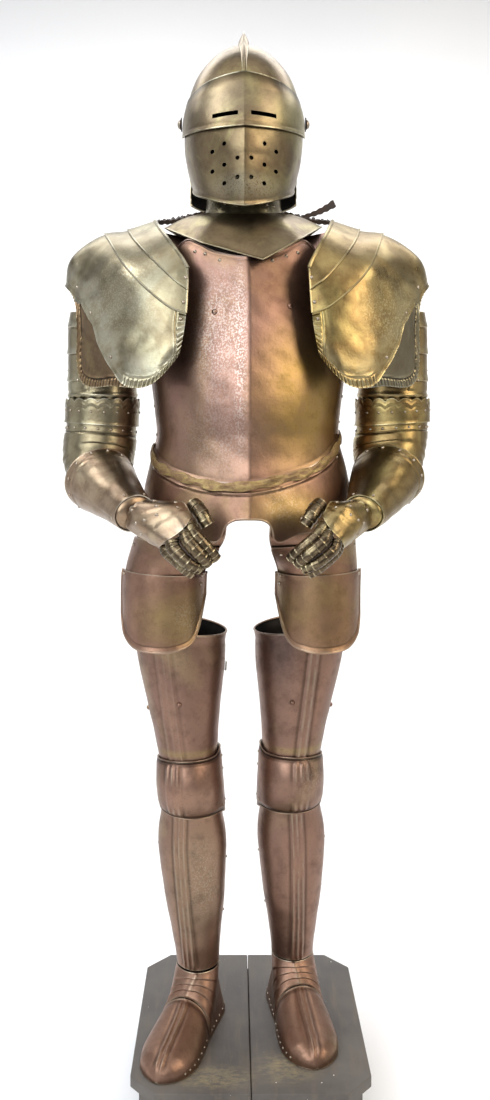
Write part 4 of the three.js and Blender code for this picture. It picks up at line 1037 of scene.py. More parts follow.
def sleeve(start, end, first=-180.0, last=180.0, grow=None):
    def surface(u, v):
        distance, angle = end + (start - end) * v, first + (last - first) * u
        return on_arm(distance, angle, grow(distance, angle) if grow else 0.0)
    return surface


def stepped(distance, places, size):
    """Lames one over another: each stands proud at its lower edge, places, and has a sunk line below it which the
    steel darkens as painted shade.
    """
    total = np.zeros(np.shape(distance))
    for place in places:
        total = total + size * smooth(distance, place - 16, place - 1) * (distance < place) \
            - 0.9 * hump(distance, place + 1.2, 1.2)
    return total


BAND = {"start": 214, "end": 262, "stand": 6.0, "points": 18, "cut": 0.17}
ELBOW = {"start": 251, "end": 394, "stand": 2.6, "foot": 0.8, "swell": 5, "plain": 0.12}


def elbow_stand(distance, angle):
    share = (distance - ELBOW["start"]) / (ELBOW["end"] - ELBOW["start"])
    swollen = np.clip((share - ELBOW["plain"]) / (1 - 2 * ELBOW["plain"]), 0, 1)
    sloped = ELBOW["stand"] + (ELBOW["foot"] - ELBOW["stand"]) * share
    return sloped + ELBOW["swell"] * np.sin(np.pi * swollen)


for side, sign in SIDES:
    upper = sleeve(60, 246)

    def upper_relief(u, v, edges):
        distance, angle = 246 - 186 * v, -180 + 360 * u
        outer = smooth(angle, 10, 24) * (1 - smooth(angle, 168, 178))
        seam = -1.0 * (hump(angle, 16, 1.3) + hump(angle, 174, 1.3)) * smooth(distance, 60, 75)
        lames = outer * (stepped(distance, (84, 131, 180), 1.8) + 1.0)
        rings = 2.3 * (hump(distance, 208, 4.2) + hump(distance, 224, 4.2)) - 0.6 * hump(distance, 216, 2.6)
        return lames * (distance < 198) + seam * (distance < 200) + rings

    arm = Plate(sign, tucking(side))
    arm.wall(upper, lines((0, 1, 80), (0.53, 0.56, 10), (0.97, 0.99, 8)), edged(120),
             relief=upper_relief, ring=True)
    arm.rivets(upper, [(0.60, v) for v in (0.90, 0.72, 0.54, 0.36)] + [(0.76, v) for v in (0.86, 0.66, 0.46)],
               SHEET + 1.4, 2.8, 2.2)
    arm.make(f"upper_arm_{side}", ARM_METALS[side], "brassy_bronzed_steel")

    def scalloped(surface, count, depth):
        """The surface with its upper edge cut into count points."""
        def cut(u, v):
            wave = np.abs(np.sin(np.pi * count * u)) ** 0.7
            return surface(u, np.clip(v * (1 - depth * (1 - wave)), 0, 1))
        return cut

    plain_band = sleeve(BAND["start"], BAND["end"], grow=lambda d, a: BAND["stand"])
    band = scalloped(plain_band, BAND["points"], BAND["cut"])

    def band_relief(u, v, edges):
        return 0.8 * hump(edges["top"], 9, 2.0) - 0.5 * hump(edges["top"], 14, 1.6) + 0.9 * smooth(v, 0.16, 0.0)

    lame_plate = Plate(sign, tucking(side))
    lame_plate.wall(band, lines((0, 1, 200)), edged(26, 0.05), relief=band_relief, ring=True)
    lame_plate.rivets(plain_band, [((k + 0.5) / BAND["points"], 0.52) for k in range(BAND["points"])],
                      SHEET, 2.3, 1.7)
    lame_plate.make(f"arm_lame_{side}", ARM_METALS[side], "brassy_bronzed_steel")

    elbow = sleeve(ELBOW["start"], ELBOW["end"], grow=elbow_stand)

    def elbow_relief(u, v, edges):
        from_front = np.abs(360 * u - 180)
        cup = 4.0 * smooth(from_front, 105, 165) * hump(v, 0.46, 0.19)
        fan = 1.0 * hump(from_front, 88, 20) * np.sin(v * 60) * hump(v, 0.42, 0.2)
        seams = hump(v, 0.775, 0.011) + hump(v, 0.17, 0.011)
        return cup + fan + 0.7 * smooth(edges["top"], 3, 0) - 1.0 * seams + 0.8 * smooth(v, 0.775, 0.74)

    couter = Plate(sign, tucking(side))
    couter.wall(elbow, lines((0, 1, 110)), lines((0, 1, 56), (0.74, 0.82, 12)), relief=elbow_relief, ring=True,
                dents=0.6)
    couter.rivets(elbow, [((k + 0.5) / 17, 0.845) for k in range(17)], SHEET, 2.7, 2.1)
    couter.rivets(elbow, [((k + 0.2) / 11, 0.10) for k in range(11)], SHEET + 0.6, 2.6, 2.0)
    couter.make(f"couter_{side}", ARM_METALS[side], "brassy_bronzed_steel")


# ==== gauntlets ===================================================================================
# A bell cuff riveted round its mouth, a hand plate on it with a filed, scalloped wrist seam, and over the
# fingers of a dark leather glove rows of small bright overlapping scales: eight to a finger, four to the thumb.
CUFF = {"start": 388, "end": 548, "bell": 15}
# Rows run from the finger tips to the wrist, and columns from the forefinger's edge to the little finger's.
HAND = [[[118, -240, 956], [128, -258, 940], [150, -252, 918], [158, -222, 904]],
        [[132, -222, 979], [154, -240, 972], [182, -232, 944], [182, -206, 920]],
        [[158, -186, 976], [176, -202, 982], [198, -204, 968], [206, -184, 936]]]
FINGERS = [[[62, -244, 892], [78, -260, 882], [96, -256, 868], [108, -236, 854]],
           [[76, -254, 913], [94, -274, 901], [118, -268, 879], [128, -238, 867]],
           [[104, -254, 940], [120, -272, 926], [144, -262, 902], [152, -230, 890]]]
THUMB = [[[80, -226, 950], [88, -240, 944], [98, -236, 936]], [[92, -222, 970], [101, -238, 964], [112, -234, 952]],
         [[110, -206, 984], [119, -220, 982], [128, -212, 972]]]
REACH = {"left": 24, "right": 0}  # the left hand reaches further towards the middle
SCALE_STEEL = steel("bright_scale_steel", [(112, 98, 76), (84, 72, 58), (140, 128, 100)], (196, 184, 152),
                    (40, 33, 26), rough=(0.24, 0.36), cloud=0.03)


def glove_leather():
    made, tree, shader = new_material("dark_glove_leather")
    clouds = grain(tree, 0.02, 5)
    tree.links.new(blended(tree, ramp(tree, clouds, 0.35, 0.65), rgb(34, 26, 22), rgb(66, 48, 38)),
                   shader.inputs["Base Color"])
    tree.links.new(ramp(tree, clouds, 0.3, 0.7, 0.5, 0.75), shader.inputs["Roughness"])
    tree.links.new(bumped(tree, grain(tree, 0.003, 4), 0.0004, 0.7), shader.inputs["Normal"])
    return made


GLOVE = glove_leather()


def on_net(net, u, v):
    """A smooth surface through a net of given points: u runs along its rows and v from row to row."""
    net = np.array(net, float)
    tall, wide = net.shape[:2]
    u, v = np.broadcast_arrays(np.asarray(u, float), np.asarray(v, float))
    keyed = [np.hstack([np.arange(wide)[:, None], row]) for row in net]
    rows = np.stack([between(row, u * (wide - 1))[..., 1:] for row in keyed])
    place = np.clip(v * (tall - 1), 0, tall - 1)
    i = np.clip(np.floor(place).astype(int), 0, tall - 2)
    t = (place - i)[..., None]

    def row(k):
        index = np.clip(i + k, 0, tall - 1)
        return np.take_along_axis(rows, index[None, ..., None], 0)[0]
    a, b, c, d = row(-1), row(0), row(1), row(2)
    return b + 0.5 * t * (c - a + t * (2 * a - 5 * b + 4 * c - d + t * (3 * (b - c) + d - a)))


def reaching(side):
    def move(points):
        points[:, 0] -= REACH[side] * smooth(-points[:, 0], -200, -130)
        return points
    return move


def mouth(distance, angle):
    open_ = np.maximum(0, 1 - (distance - CUFF["start"]) / 110) ** 1.4
    return 3 + CUFF["bell"] * open_ * (0.55 + 0.45 * sin(angle))


def scales(plate, net, across, count, wide, v_from=1.0, v_to=0.0, sink=0.92):
    """One finger's overlapping scales, each a small arched plate whose outer end stands over the next."""
    span = (v_to - v_from) / count
    for k in range(count):
        near, far = v_from + span * k - 0.25 * span * (k > 0), v_from + span * (k + 1)
        shrink = 1 - 0.22 * (k + 0.5) / count

        def arched(u, v, near=near, far=far, shrink=shrink):
            place = far + (near - far) * v
            centre = on_net(net, np.full(u.shape, across), place)
            out = normal_at(lambda p, q: on_net(net, p, q), np.full(u.shape, across), place, 0.03)
            along = on_net(net, np.full(u.shape, across), np.clip(place + 0.03, 0, 1)) - \
                on_net(net, np.full(u.shape, across), np.clip(place - 0.03, 0, 1))
            along /= np.linalg.norm(along, axis=-1)[..., None]
            side = np.cross(along, out)
            round_ = wide * shrink * (0.88 + 0.20 * (1 - v) + 0.05 * np.sin(np.pi * v))
            turn = 105 * (2 * u - 1) * (1 - 0.14 * (1 - v) ** 4)
            up = (cos(turn) - sink) * round_
            return centre + side * (sin(turn) * round_)[..., None] + out * up[..., None]

        plate.wall(arched, np.linspace(0, 1, 17), np.array([0, 0.08, 0.25, 0.5, 0.75, 1.0]), thick=1.2, dents=0,
                   relief=lambda u, v, edges: -0.5 * hump(v, 0.16, 0.09) + 0.4 * hump(v, 0.0, 0.10))


for side, sign in SIDES:
    bell = sleeve(CUFF["start"], CUFF["end"], grow=mouth)

    def cuff_relief(u, v, edges):
        angle = -180 + 360 * u
        seam = -0.8 * (hump(angle, 108, 1.2) + hump(angle, -108, 1.2))
        return 0.9 * hump(edges["top"], 19, 2.2) - 0.7 * hump(edges["top"], 22.5, 1.4) + seam \
            + 0.6 * smooth(edges["bottom"], 5, 0)

    cuff = Plate(sign, tucking(side))
    cuff.wall(bell, lines((0, 1, 96)), edged(70), relief=cuff_relief, ring=True, dents=0.5)
    cuff.wall(sleeve(520, 565, grow=lambda d, a: 0.9 - 24 * smooth(d, 546, 565)), lines((0, 1, 60)), edged(20),
              ring=True, dents=0.3)
    cuff.roll(bell, np.linspace(0, 1, 96)[:-1], 1.0, 1.5, 0.8, closed=True)
    cuff.rivets(bell, [((k + 0.5) / 13, 0.94) for k in range(13)], SHEET, 3.2, 2.6)
    cuff.rivets(bell, [(0.20, 0.08), (0.42, 0.07), (0.58, 0.07), (0.8, 0.08)], SHEET, 2.6, 2.0)
    cuff.make(f"gauntlet_cuff_{side}", CUFF_METALS[side], "brassy_bronzed_steel")

    def hand_plate(u, v):
        wave = np.abs(np.sin(np.pi * 7 * u)) ** 0.8
        return on_net(HAND, u, np.clip(v * (0.93 + 0.07 * wave), 0, 1))

    def hand_relief(u, v, edges):
        knuckles = 1.1 * np.abs(np.sin(np.pi * 4 * u)) ** 0.6 * smooth(v, 0.22, 0.06)
        return knuckles - 0.8 * hump(v, 0.34, 0.02) + 1.0 * smooth(v, 0.36, 0.30) - 0.6 * hump(edges["top"], 6, 1.5)

    hand = Plate(sign, reaching(side))
    hand.wall(hand_plate, lines((0, 1, 80)), edged(46), lift=-SHEET, relief=hand_relief, dents=0.4)
    for end in (0.0, 1.0):
        hand.roll(hand_plate, end, np.linspace(0, 1, 30), 1.3, -0.8)
    hand.rivets(hand_plate, [(0.70, 0.60), (0.58, 0.52), (0.46, 0.46), (0.38, 0.62), (0.64, 0.86), (0.30, 0.84),
                             (0.14, 0.60), (0.20, 0.40), (0.84, 0.44)], 0, 2.7, 2.0)
    hand.make(f"gauntlet_hand_{side}", CUFF_METALS[side], "brassy_bronzed_steel")

    fingers = Plate(sign, reaching(side))
    knuckled = FINGERS + HAND[:1]  # the scales run back to the hand plate's edge
    for k, tip in enumerate((0.03, 0.0, 0.01, 0.07)):
        scales(fingers, knuckled, (k + 0.5) / 4, 8, 10.2, 0.96, tip)
    fingers.wall(lambda u, v: on_net(knuckled, u, v), np.linspace(0.03, 0.97, 26), np.linspace(0.03, 1, 24),
                 lift=-8.5, kind=2, relief=lambda u, v, edges: 2.0 * np.abs(np.sin(np.pi * 4 * u)))
    fingers.make(f"gauntlet_fingers_{side}", (SCALE_STEEL, LEG_RIVET, GLOVE), "dark_bright_steel")

    thumb = Plate(sign, reaching(side))
    scales(thumb, THUMB, 0.5, 4, 12.5)
    thumb.wall(lambda u, v: on_net(THUMB, u, v), np.linspace(0.05, 0.95, 12), np.linspace(0.03, 1, 14),
               lift=-8.5, kind=2, relief=lambda u, v, edges: 3.0 * np.sin(np.pi * u))
    thumb.make(f"gauntlet_thumb_{side}", (SCALE_STEEL, LEG_RIVET, GLOVE), "dark_bright_steel")


# ==== breast shoulders ============================================================================
# A short plate carries the breast over each shoulder, mostly hidden by the gorget and the pauldrons. It is
# russet steel like the breast and hooks on it with one rivet.
BREAST_SHOULDER = [[[64, -92, 1404], [100, -78, 1412], [139, -62, 1420]],
                   [[70, -30, 1436], [108, -20, 1450], [153, -6, 1463]]]

for side, sign in SIDES:
    def over_shoulder(u, v):
        return on_net(BREAST_SHOULDER, u, v)

    piece = Plate(sign)
    piece.wall(over_shoulder, edged(30), edged(30), dents=0.3,
               relief=lambda u, v, edges: 0.6 * smooth(edges["end"], 4, 0))
    piece.rivets(over_shoulder, [(0.5, 0.3)], SHEET, 2.8, 2.0)
    piece.make(f"breast_shoulder_{side}", BREAST_METALS, "russet_steel")


# ==== pauldrons ===================================================================================
# The shoulder shells: two narrow lames towards the neck with wired edges, and a deep main shell whose lower and
# inner borders are crimped like a pie crust. A smaller crimped wing is riveted below its slanting front edge.
# Rows run outwards from the neck, and columns from the front corner over the shoulder to the back.
SHOULDER = [
    [[101, -162, 1373], [113, -152, 1398], [128, -130, 1424], [142, -94, 1448], [151, -56, 1466],
     [158, -8, 1480], [154, 62, 1470], [134, 122, 1424], [112, 156, 1373]],
    [[104, -168, 1333], [126, -166, 1350], [156, -148, 1381], [180, -116, 1410], [200, -70, 1438],
     [214, -4, 1464], [206, 74, 1448], [160, 134, 1396], [116, 164, 1333]],
    [[107, -172, 1285], [139, -172, 1294], [187, -156, 1332], [222, -124, 1372], [250, -70, 1424],
     [268, 2, 1456], [246, 92, 1430], [176, 150, 1362], [120, 168, 1291]],
    [[111, -172, 1256], [150, -170, 1236], [212, -146, 1256], [268, -98, 1292], [300, -50, 1376],
     [318, 4, 1420], [276, 102, 1378], [182, 154, 1312], [123, 168, 1268]],
    [[118, -168, 1224], [168, -162, 1172], [230, -132, 1172], [302, -62, 1187], [312, -46, 1318],
     [337, 8, 1366], [288, 100, 1326], [188, 152, 1268], [127, 166, 1240]],
]
LAME_EDGES = [0.035, 0.25, 0.45, 1]
LAYER = 2.2
# (column, how far the main shell reaches towards the last row)
SLANT = [(0, 1.0), (1.3, 1.0), (1.65, 0.99), (1.9, 0.955), (2.1, 0.91), (2.5, 0.84), (3.0, 0.773),
         (3.3, 0.785), (3.6, 0.81), (4.0, 0.93), (4.5, 0.985), (5.0, 1.0), (8, 1.0)]
WING = {"from": 4.8, "to": 1.3, "top": 0.68}
CRIMP = {"wide": 15, "pitch": 8, "deep": 2.4}
# The wing is drawn darker brown on the left and lighter grey on the right: painted shade and painted light on one
# steel.
WING_PAINTED_SHADE_AND_LIGHT = {"left": UMBER, "right": SILVERED}
# Painted shade: the pauldrons' inner faces are drawn in this darker brown.
SHELL_INSIDE = steel("pauldron_inside_painted_shade", [(104, 82, 66), (88, 68, 56), (118, 96, 74)],
                     (150, 130, 110), (52, 40, 34), rough=(0.5, 0.62), metal=0.5)


def crimped(from_edge, along):
    """The pie-crust border: ridges across a band, with a fine line inside it."""
    ribs = (0.5 + 0.5 * np.cos(2 * np.pi * along / CRIMP["pitch"])) ** 0.7
    band = smooth(from_edge, CRIMP["wide"], CRIMP["wide"] - 3)
    line = -0.8 * hump(from_edge, CRIMP["wide"] + 1.2, 1.3) + 0.6 * hump(from_edge, CRIMP["wide"] + 4, 1.6)
    return band * (ribs - 0.35) * CRIMP["deep"] + line


for side, sign in SIDES:
    def shell(start, end):
        return lambda u, v: on_net(SHOULDER, 1 - u, start + (end - start) * v)

    a, b, c, d = LAME_EDGES
    for place, (start, end, lift) in {"inner": (a, b, 2 * LAYER), "middle": (b, c, LAYER)}.items():
        surface = shell(start, end)
        piece = Plate(sign)
        piece.wall(surface, edged(110), edged(16, 0.06), lift=lift, dents=0.4)
        piece.roll(surface, np.linspace(0, 1, 110), 1.0, 1.9, lift + 1.3)
        if place == "inner":
            piece.roll(surface, np.linspace(0, 1, 110), 0.0, 3.5, lift + 1.0)
        piece.roll(surface, 1.0, np.linspace(0, 1, 14), 2.0, lift + 0.9)
        piece.rivets(surface, [(0.965, 0.6), (0.035, 0.6)], lift + SHEET, 3.4, 2.6)
        piece.make(f"pauldron_lame_{place}_{side}", (*ARM_METALS[side][:2], SHELL_INSIDE), "brassy_bronzed_steel")

    def slanted(u, v):
        columns, shares = np.array(SLANT).T
        end = np.interp(8 * (1 - u), columns, shares)
        return on_net(SHOULDER, 1 - u, LAME_EDGES[2] + (end - LAME_EDGES[2]) * v)

    def main_relief(u, v, edges):
        low = crimped(edges["top"], edges["end"][-1:]) * smooth(u, 0.765, 0.785)
        inner = crimped(edges["end"], edges["top"][:, -1:]) * (1 - smooth(edges["top"], 104, 118))
        border = np.where(edges["end"] < edges["top"], inner, low)
        over_wing = 2.2 * smooth(edges["top"], 90, 30) * smooth(u, 0.34, 0.42)
        return border + over_wing + 0.8 * smooth(edges["top"], 3, 0) - 0.5 * hump(edges["top"], 8, 2) * (u < 0.77)

    def wing(u, v):
        column = WING["to"] + (WING["from"] - WING["to"]) * (1 - u)
        return on_net(SHOULDER, column / 8, WING["top"] + (1 - WING["top"]) * v)

    def wing_relief(u, v, edges):
        outer = 1 - smooth(u, 0.40, 0.52)
        return 1.35 * crimped(edges["top"] * (1 - 0.62 * outer), edges["end"][-1:]) * smooth(u, 0.04, 0.10) - 0.6

    piece = Plate(sign)
    piece.wall(slanted, lines((0, 1, 110), (0.42, 0.76, 60), (0.76, 1, 170)),
               lines((0, 1, 40), (0.5, 1, 20), (0.86, 1, 14)), relief=main_relief, dents=0.8)
    piece.wall(wing, edged(200), lines((0, 1, 30), (0.70, 1, 14)), lift=-0.4, relief=wing_relief,
               dents=0.6, kind=3)
    piece.roll(slanted, np.linspace(0.15, 0.77, 120), 1.0, 1.4, 2.4)
    piece.rivets(slanted, [(0.955, 0.12), (0.5, 0.80), (0.05, 0.14), (0.60, 0.93), (0.72, 0.92)],
                 SHEET + 1.6, 3.2, 2.4)
    metals = (*ARM_METALS[side][:2], SHELL_INSIDE, WING_PAINTED_SHADE_AND_LIGHT[side])
    piece.make(f"pauldron_main_{side}", metals, "brassy_bronzed_steel")


# ==== shoulder straps =============================================================================
# Old black leather straps tie the pauldrons to the collar. Their edges are cracked and torn, and on the right
# the loose end stands up past its knot.
STRAP = {"wide": 16, "thick": 2.4, "line": [[66, 62, 1511], [106, 56, 1503], [142, 44, 1492], [172, 30, 1484]]}
FLAP = {"start": (112, 40, 1503), "end": (174, 30, 1527), "wide": 17}
STRAP_LEATHER = glove_leather()
STRAP_LEATHER.name = "cracked_strap_leather"

for side, sign in SIDES:
    def strap(u, v):
        keyed = np.array([[k, *p] for k, p in enumerate(STRAP["line"])], float)
        middle = between(keyed, u * 3)[..., 1:]
        torn = 0.8 - 0.42 * np.abs(np.sin(u * 37)) ** 3 - 0.26 * np.abs(np.sin(u * 61 + 1)) ** 4
        return middle + point(0, STRAP["wide"] * (v - 0.5) * torn, 13 * v * torn)

    def strand(u, v):
        torn = 1 - 0.5 * np.abs(np.sin(u * 29)) ** 3
        height = 1510 - 24 * u + 9 * torn * (v - 0.5) + 2 * np.sin(u * 8)
        return point(70 + 98 * u, 42 - 16 * u - 4 * (v - 0.5), height)

    band = Plate(sign)
    band.wall(strap, np.linspace(0, 1, 70), np.linspace(0, 1, 10), thick=STRAP["thick"], dents=0.5,
              relief=lambda u, v, edges: 0.5 * np.sin(u * 45) * v)
    band.wall(strand, np.linspace(0, 1, 50), np.linspace(0, 1, 6), thick=1.4, dents=0.4,
              relief=lambda u, v, edges: 0.6 * np.sin(u * 31) * (v - 0.5))
    if side == "right":
        def flap(u, v):
            start, end = np.array(FLAP["start"]), np.array(FLAP["end"])
            middle = start + (end - start) * u[..., None] + point(0, 0, -4 * np.sin(np.pi * u))
            across = FLAP["wide"] * (v - 0.5) * (0.45 + 0.55 * u - 0.2 * np.abs(np.sin(u * 17)) ** 3)
            return middle + point(-0.35 * across, 0.3 * across, 0.9 * across)
        band.wall(flap, np.linspace(0, 1, 30), np.linspace(0, 1, 8), thick=1.8, dents=0.4)
    band.make(f"strap_{side}", (STRAP_LEATHER, STRAP_LEATHER, STRAP_LEATHER), "strap_leather")


# ==== helmet ======================================================================================
# A close helmet: the skull is raised in two halves under a tall hollow comb, and a sharp-keeled visor with two
# sights and a ventail with seven breaths a side turn together on domed bolts at the temples.
HEAD = {"y": 10, "z": 1670, "half": 105, "radius": 131, "nape": 124, "rim": 1525, "crown": 144}
COMB = {"front": 22, "back": 168, "low": 3, "high": 20, "foot": 8, "base": 20, "start": 55, "peak": 79, "clear": 2.6}
FACE_EDGE = [[1525, 103], [1600, 99], [1640, 90], [1670, 76], [1689, 60], [1690, 0.4], [1820, 0.4]]
VISOR = [[1605, 0, 10, 113, 152, 60], [1640, 0, 10, 113.5, 148, 60], [1665, 0, 10, 112.6, 142.5, 60],
         [1690, 0, 10, 108.8, 136.5, 60], [1725, 0, 10, 101.5, 130, 60]]
VENTAIL = [[1485, 0, 10, 78, 114, 60], [1535, 0, 10, 90, 128, 60], [1575, 0, 10, 101, 138, 60],
           [1600, 0, 10, 106, 143, 60], [1627, 0, 10, 109, 143, 60], [1655, 0, 10, 108.8, 139, 60],
           [1690, 0, 10, 107, 136, 60]]
KEEL = (9, 34)
SIGHT = {"length": 45, "height": 8, "inner": 11, "z": 1642, "slant": -1}
BREATHS = [(35, 1593), (56, 1584), (12, 1567), (35, 1559), (56, 1552), (12, 1536), (35, 1529)]
BREATH = 7.4


def face_start(height):
    heights, angles = np.array(FACE_EDGE, float).T
    return np.interp(height, heights, angles)


def dome_share(up):
    """How much of its full width and depth the skull keeps at a height above the pivots."""
    return (1 - np.clip(up / HEAD["crown"], 0, 1) ** 2.2) ** 0.645


def crown_height(v):
    low = HEAD["rim"] + (HEAD["z"] + 19 - HEAD["rim"]) * np.minimum(1, v / 0.4)
    turn = np.arcsin(20.5 / HEAD["crown"]), np.arcsin(0.9985)
    arc = turn[0] + (turn[1] - turn[0]) * np.clip((v - 0.42) / 0.58, 0, 1)
    return np.where(v <= 0.4, low, HEAD["z"] + HEAD["crown"] * np.sin(arc))


def skull(u, v):
    height = crown_height(v)
    first = face_start(height)
    angle = first + (179.6 - first) * u
    up = height - HEAD["z"]
    share = dome_share(up)
    down = np.maximum(0, -up) / (HEAD["z"] - HEAD["rim"])
    half = HEAD["half"] * share - 4 * down
    behind = HEAD["nape"] * share - 14 * np.sin(np.pi * 0.75 * down) ** 2
    c = cos(angle)
    return point(half * sin(angle), HEAD["y"] - np.where(c > 0, HEAD["radius"] * share, behind) * c, height)


def skull_relief(u, v, edges):
    height = crown_height(v)
    return 1.4 * smooth(height, 1536, 1526) - 0.8 * hump(height, 1560, 1.6) + 0.8 * hump(height, 1540, 2)


for side, sign in SIDES:
    half = Plate(sign)
    half.wall(skull, edged(60), np.sort(np.concatenate([np.linspace(0, 0.4, 34), np.linspace(0.42, 1, 46)])),
              relief=skull_relief, dents=0.4)
    half.roll(skull, np.linspace(0, 1, 60), 0.0, 2.2, 1.2)
    half.rivets(skull, [(0.15, 0.055), (0.45, 0.055), (0.75, 0.055)], SHEET + 0.6, 2.8, 2.0)
    half.make(f"helmet_skull_{side}", OLIVE_METALS, "olive_bronzed_steel")


def comb_foot(angle):
    """How far the comb's foot lies from the pivots' axis: just outside the skull, found by halving."""
    deep = np.where(angle < 90, HEAD["radius"], HEAD["nape"])
    inside, outside = np.zeros(np.shape(angle)), np.full(np.shape(angle), HEAD["crown"] + 20.0)
    for _ in range(30):
        reach = (inside + outside) / 2
        under = reach * np.abs(cos(angle)) < deep * dome_share(reach * sin(angle))
        inside, outside = np.where(under, reach, inside), np.where(under, outside, reach)
    return inside + SHEET + COMB["clear"]


def comb_blade(u, v):
    angle = COMB["front"] + (COMB["back"] - COMB["front"]) * v
    creep = 4 * smooth(angle, COMB["front"], COMB["start"])
    rise = smooth(angle, COMB["start"], COMB["peak"])
    fall = 1 - 0.8 * smooth(angle, 100, COMB["back"])
    tall = np.maximum(1.5, (COMB["low"] + creep + (COMB["high"] - COMB["low"] - creep) * rise) * fall)
    wide = COMB["foot"] + (COMB["base"] - COMB["foot"]) * smooth(angle, COMB["front"], COMB["peak"])
    up = 1 - np.abs(2 * u - 1)
    across = np.sign(2 * u - 1) * wide / 2 * (0.88 * (1 - up ** 1.35) + 0.12 * (1 - up))
    reach = comb_foot(angle) + tall * up - 1.0
    return point(across, HEAD["y"] - reach * cos(angle), HEAD["z"] + reach * sin(angle))


crest = Plate()
crest.wall(comb_blade, np.linspace(0, 1, 25), edged(120), lift=-1.0, thick=1.0, dents=0)
crest.roll(comb_blade, 0.5, np.linspace(0.0, 1, 120), 1.1, -0.2)
crest.make("helmet_comb", OLIVE_METALS, "olive_bronzed_steel")


def bowed(u, ends, middle, power):
    return ends + (middle - ends) * (1 - np.abs(2 * u - 1) ** power)


def visor(u, v):
    low, high = bowed(u, 1650, 1618, 2), bowed(u, 1690, 1719, 1.7)
    return on_tube(VISOR, low + (high - low) * v, -100 + 200 * u, *KEEL)


def ventail(u, v):
    low, high = bowed(u, 1547, 1490, 1.45), bowed(u, 1680, 1631, 2.4)
    return on_tube(VENTAIL, low + (high - low) * v, -96 + 192 * u, *KEEL)


def pierced(obj, cutters):
    """The plate with its openings sawn through."""
    for cutter in cutters:
        step = obj.modifiers.new("opening", "BOOLEAN")
        step.operation, step.solver, step.object = "DIFFERENCE", "EXACT", cutter
    bpy.context.view_layer.update()
    sawn = bpy.data.meshes.new_from_object(obj.evaluated_get(bpy.context.evaluated_depsgraph_get()))
    obj.modifiers.clear()
    obj.data = sawn
    for cutter in cutters:
        bpy.data.objects.remove(cutter)
    return obj


def punch(outline, turn, x, z):
    """A long prism through the face: outline is its shape seen from in front."""
    shape = bmesh.new()
    c, s = math.cos(math.radians(turn)), math.sin(math.radians(turn))
    x += float(between(LEAN, z)[1])
    placed = [(x + a * c - b * s, z + DECK + a * s + b * c) for a, b in outline]
    ring = [shape.verts.new((px * MM, -0.18, pz * MM)) for px, pz in placed]
    back_ring = [shape.verts.new((px * MM, -0.07, pz * MM)) for px, pz in placed]
    shape.faces.new(ring)
    shape.faces.new(back_ring[::-1])
    for k in range(len(ring)):
        j = (k + 1) % len(ring)
        shape.faces.new([ring[j], ring[k], back_ring[k], back_ring[j]])
    bmesh.ops.recalc_face_normals(shape, faces=shape.faces[:])
    mesh = bpy.data.meshes.new("punch")
    shape.to_mesh(mesh)
    shape.free()
    obj = bpy.data.objects.new("punch", mesh)
    bpy.context.scene.collection.objects.link(obj)
    return obj


face = Plate()
face.wall(visor, lines((0, 1, 90), (0.48, 0.52, 16)), edged(46), dents=0.35, relief=lambda u, v, edges:
          0.5 * smooth(edges["bottom"], 6, 0) - 0.4 * hump(edges["bottom"], 8, 2)
          - 1.2 * smooth(edges["top"], 24, 0))
face.roll(visor, np.linspace(0, 1, 110), 0.0, 0.9, 0.8)
made = face.make("helmet_visor", OLIVE_METALS, "olive_bronzed_steel", body="face")
long, tall = SIGHT["length"] / 2, SIGHT["height"] / 2
slot = [(-long, -tall), (long, -tall), (long, tall), (-long, tall)]
pierced(made, [punch(slot, -sign * SIGHT["slant"], sign * (SIGHT["inner"] + long), SIGHT["z"])
               for _, sign in SIDES])

face = Plate()
face.wall(ventail, lines((0, 1, 90), (0.48, 0.52, 16)), edged(60), dents=0.35, relief=lambda u, v, edges:
          1.5 * smooth(edges["bottom"], 5, 0) - 0.7 * hump(edges["bottom"], 7, 1.6))
face.roll(ventail, np.linspace(0, 1, 110), 0.0, 1.8, 2.0)
made = face.make("helmet_ventail", OLIVE_METALS, "olive_bronzed_steel", body="face")
turns = [(k + 0.37) * math.pi / 8 for k in range(16)]
hole = [(BREATH / 2 * math.cos(t), BREATH / 2 * math.sin(t)) for t in turns]
pierced(made, [punch(hole, 0, sign * x, z) for _, sign in SIDES for x, z in BREATHS])

PIVOT = {"start": 115.8, "profile": [[13, 0], [13, 1.5], [12.4, 1.8], [9.2, 2.2], [8.9, 3.6], [8.2, 5.2], [6.6, 6.8],
                                     [4.2, 7.9], [1.6, 8.3]]}
KNOB_METALS = (steel("dark_washer", [(60, 52, 44), (48, 42, 38), (76, 64, 50)], (150, 140, 120), (26, 22, 20),
                     rough=(0.35, 0.5), cloud=0.02), LEG_RIVET, INSIDE)
for side, sign in SIDES:
    bolt = Plate(sign)
    turns = np.linspace(0, 2 * np.pi, 33)[:-1]
    rings = np.array([[[PIVOT["start"] + h, HEAD["y"] + r * math.cos(t), HEAD["z"] + r * math.sin(t)]
                       for t in turns] for r, h in PIVOT["profile"]])
    n, k = rings.shape[:2]
    quads = turned_faces(n, k)
    kinds = np.array([0 if q[0] < 4 * k and q[2] < 5 * k else 1 for q in quads])
    bolt.put(rings, quads, 5.0, 0.0, kinds)
    bolt.make(f"helmet_pivot_{side}", KNOB_METALS, "dark_bright_steel")


# ==== studio ======================================================================================
# A pale floor that curves up into the wall behind, a large cool window light from the left, a warmer lamp on
# the right, soft ones in front and overhead, and a level camera at breast height.
def pale_paper():
    made, tree, shader = new_material("pale_paper")
    tone = grain(tree, 2.0, 2)
    tree.links.new(blended(tree, ramp(tree, tone, 0.4, 0.6), rgb(240, 241, 244), rgb(245, 246, 248)),
                   shader.inputs["Base Color"])
    shader.inputs["Roughness"].default_value = 0.9
    return made


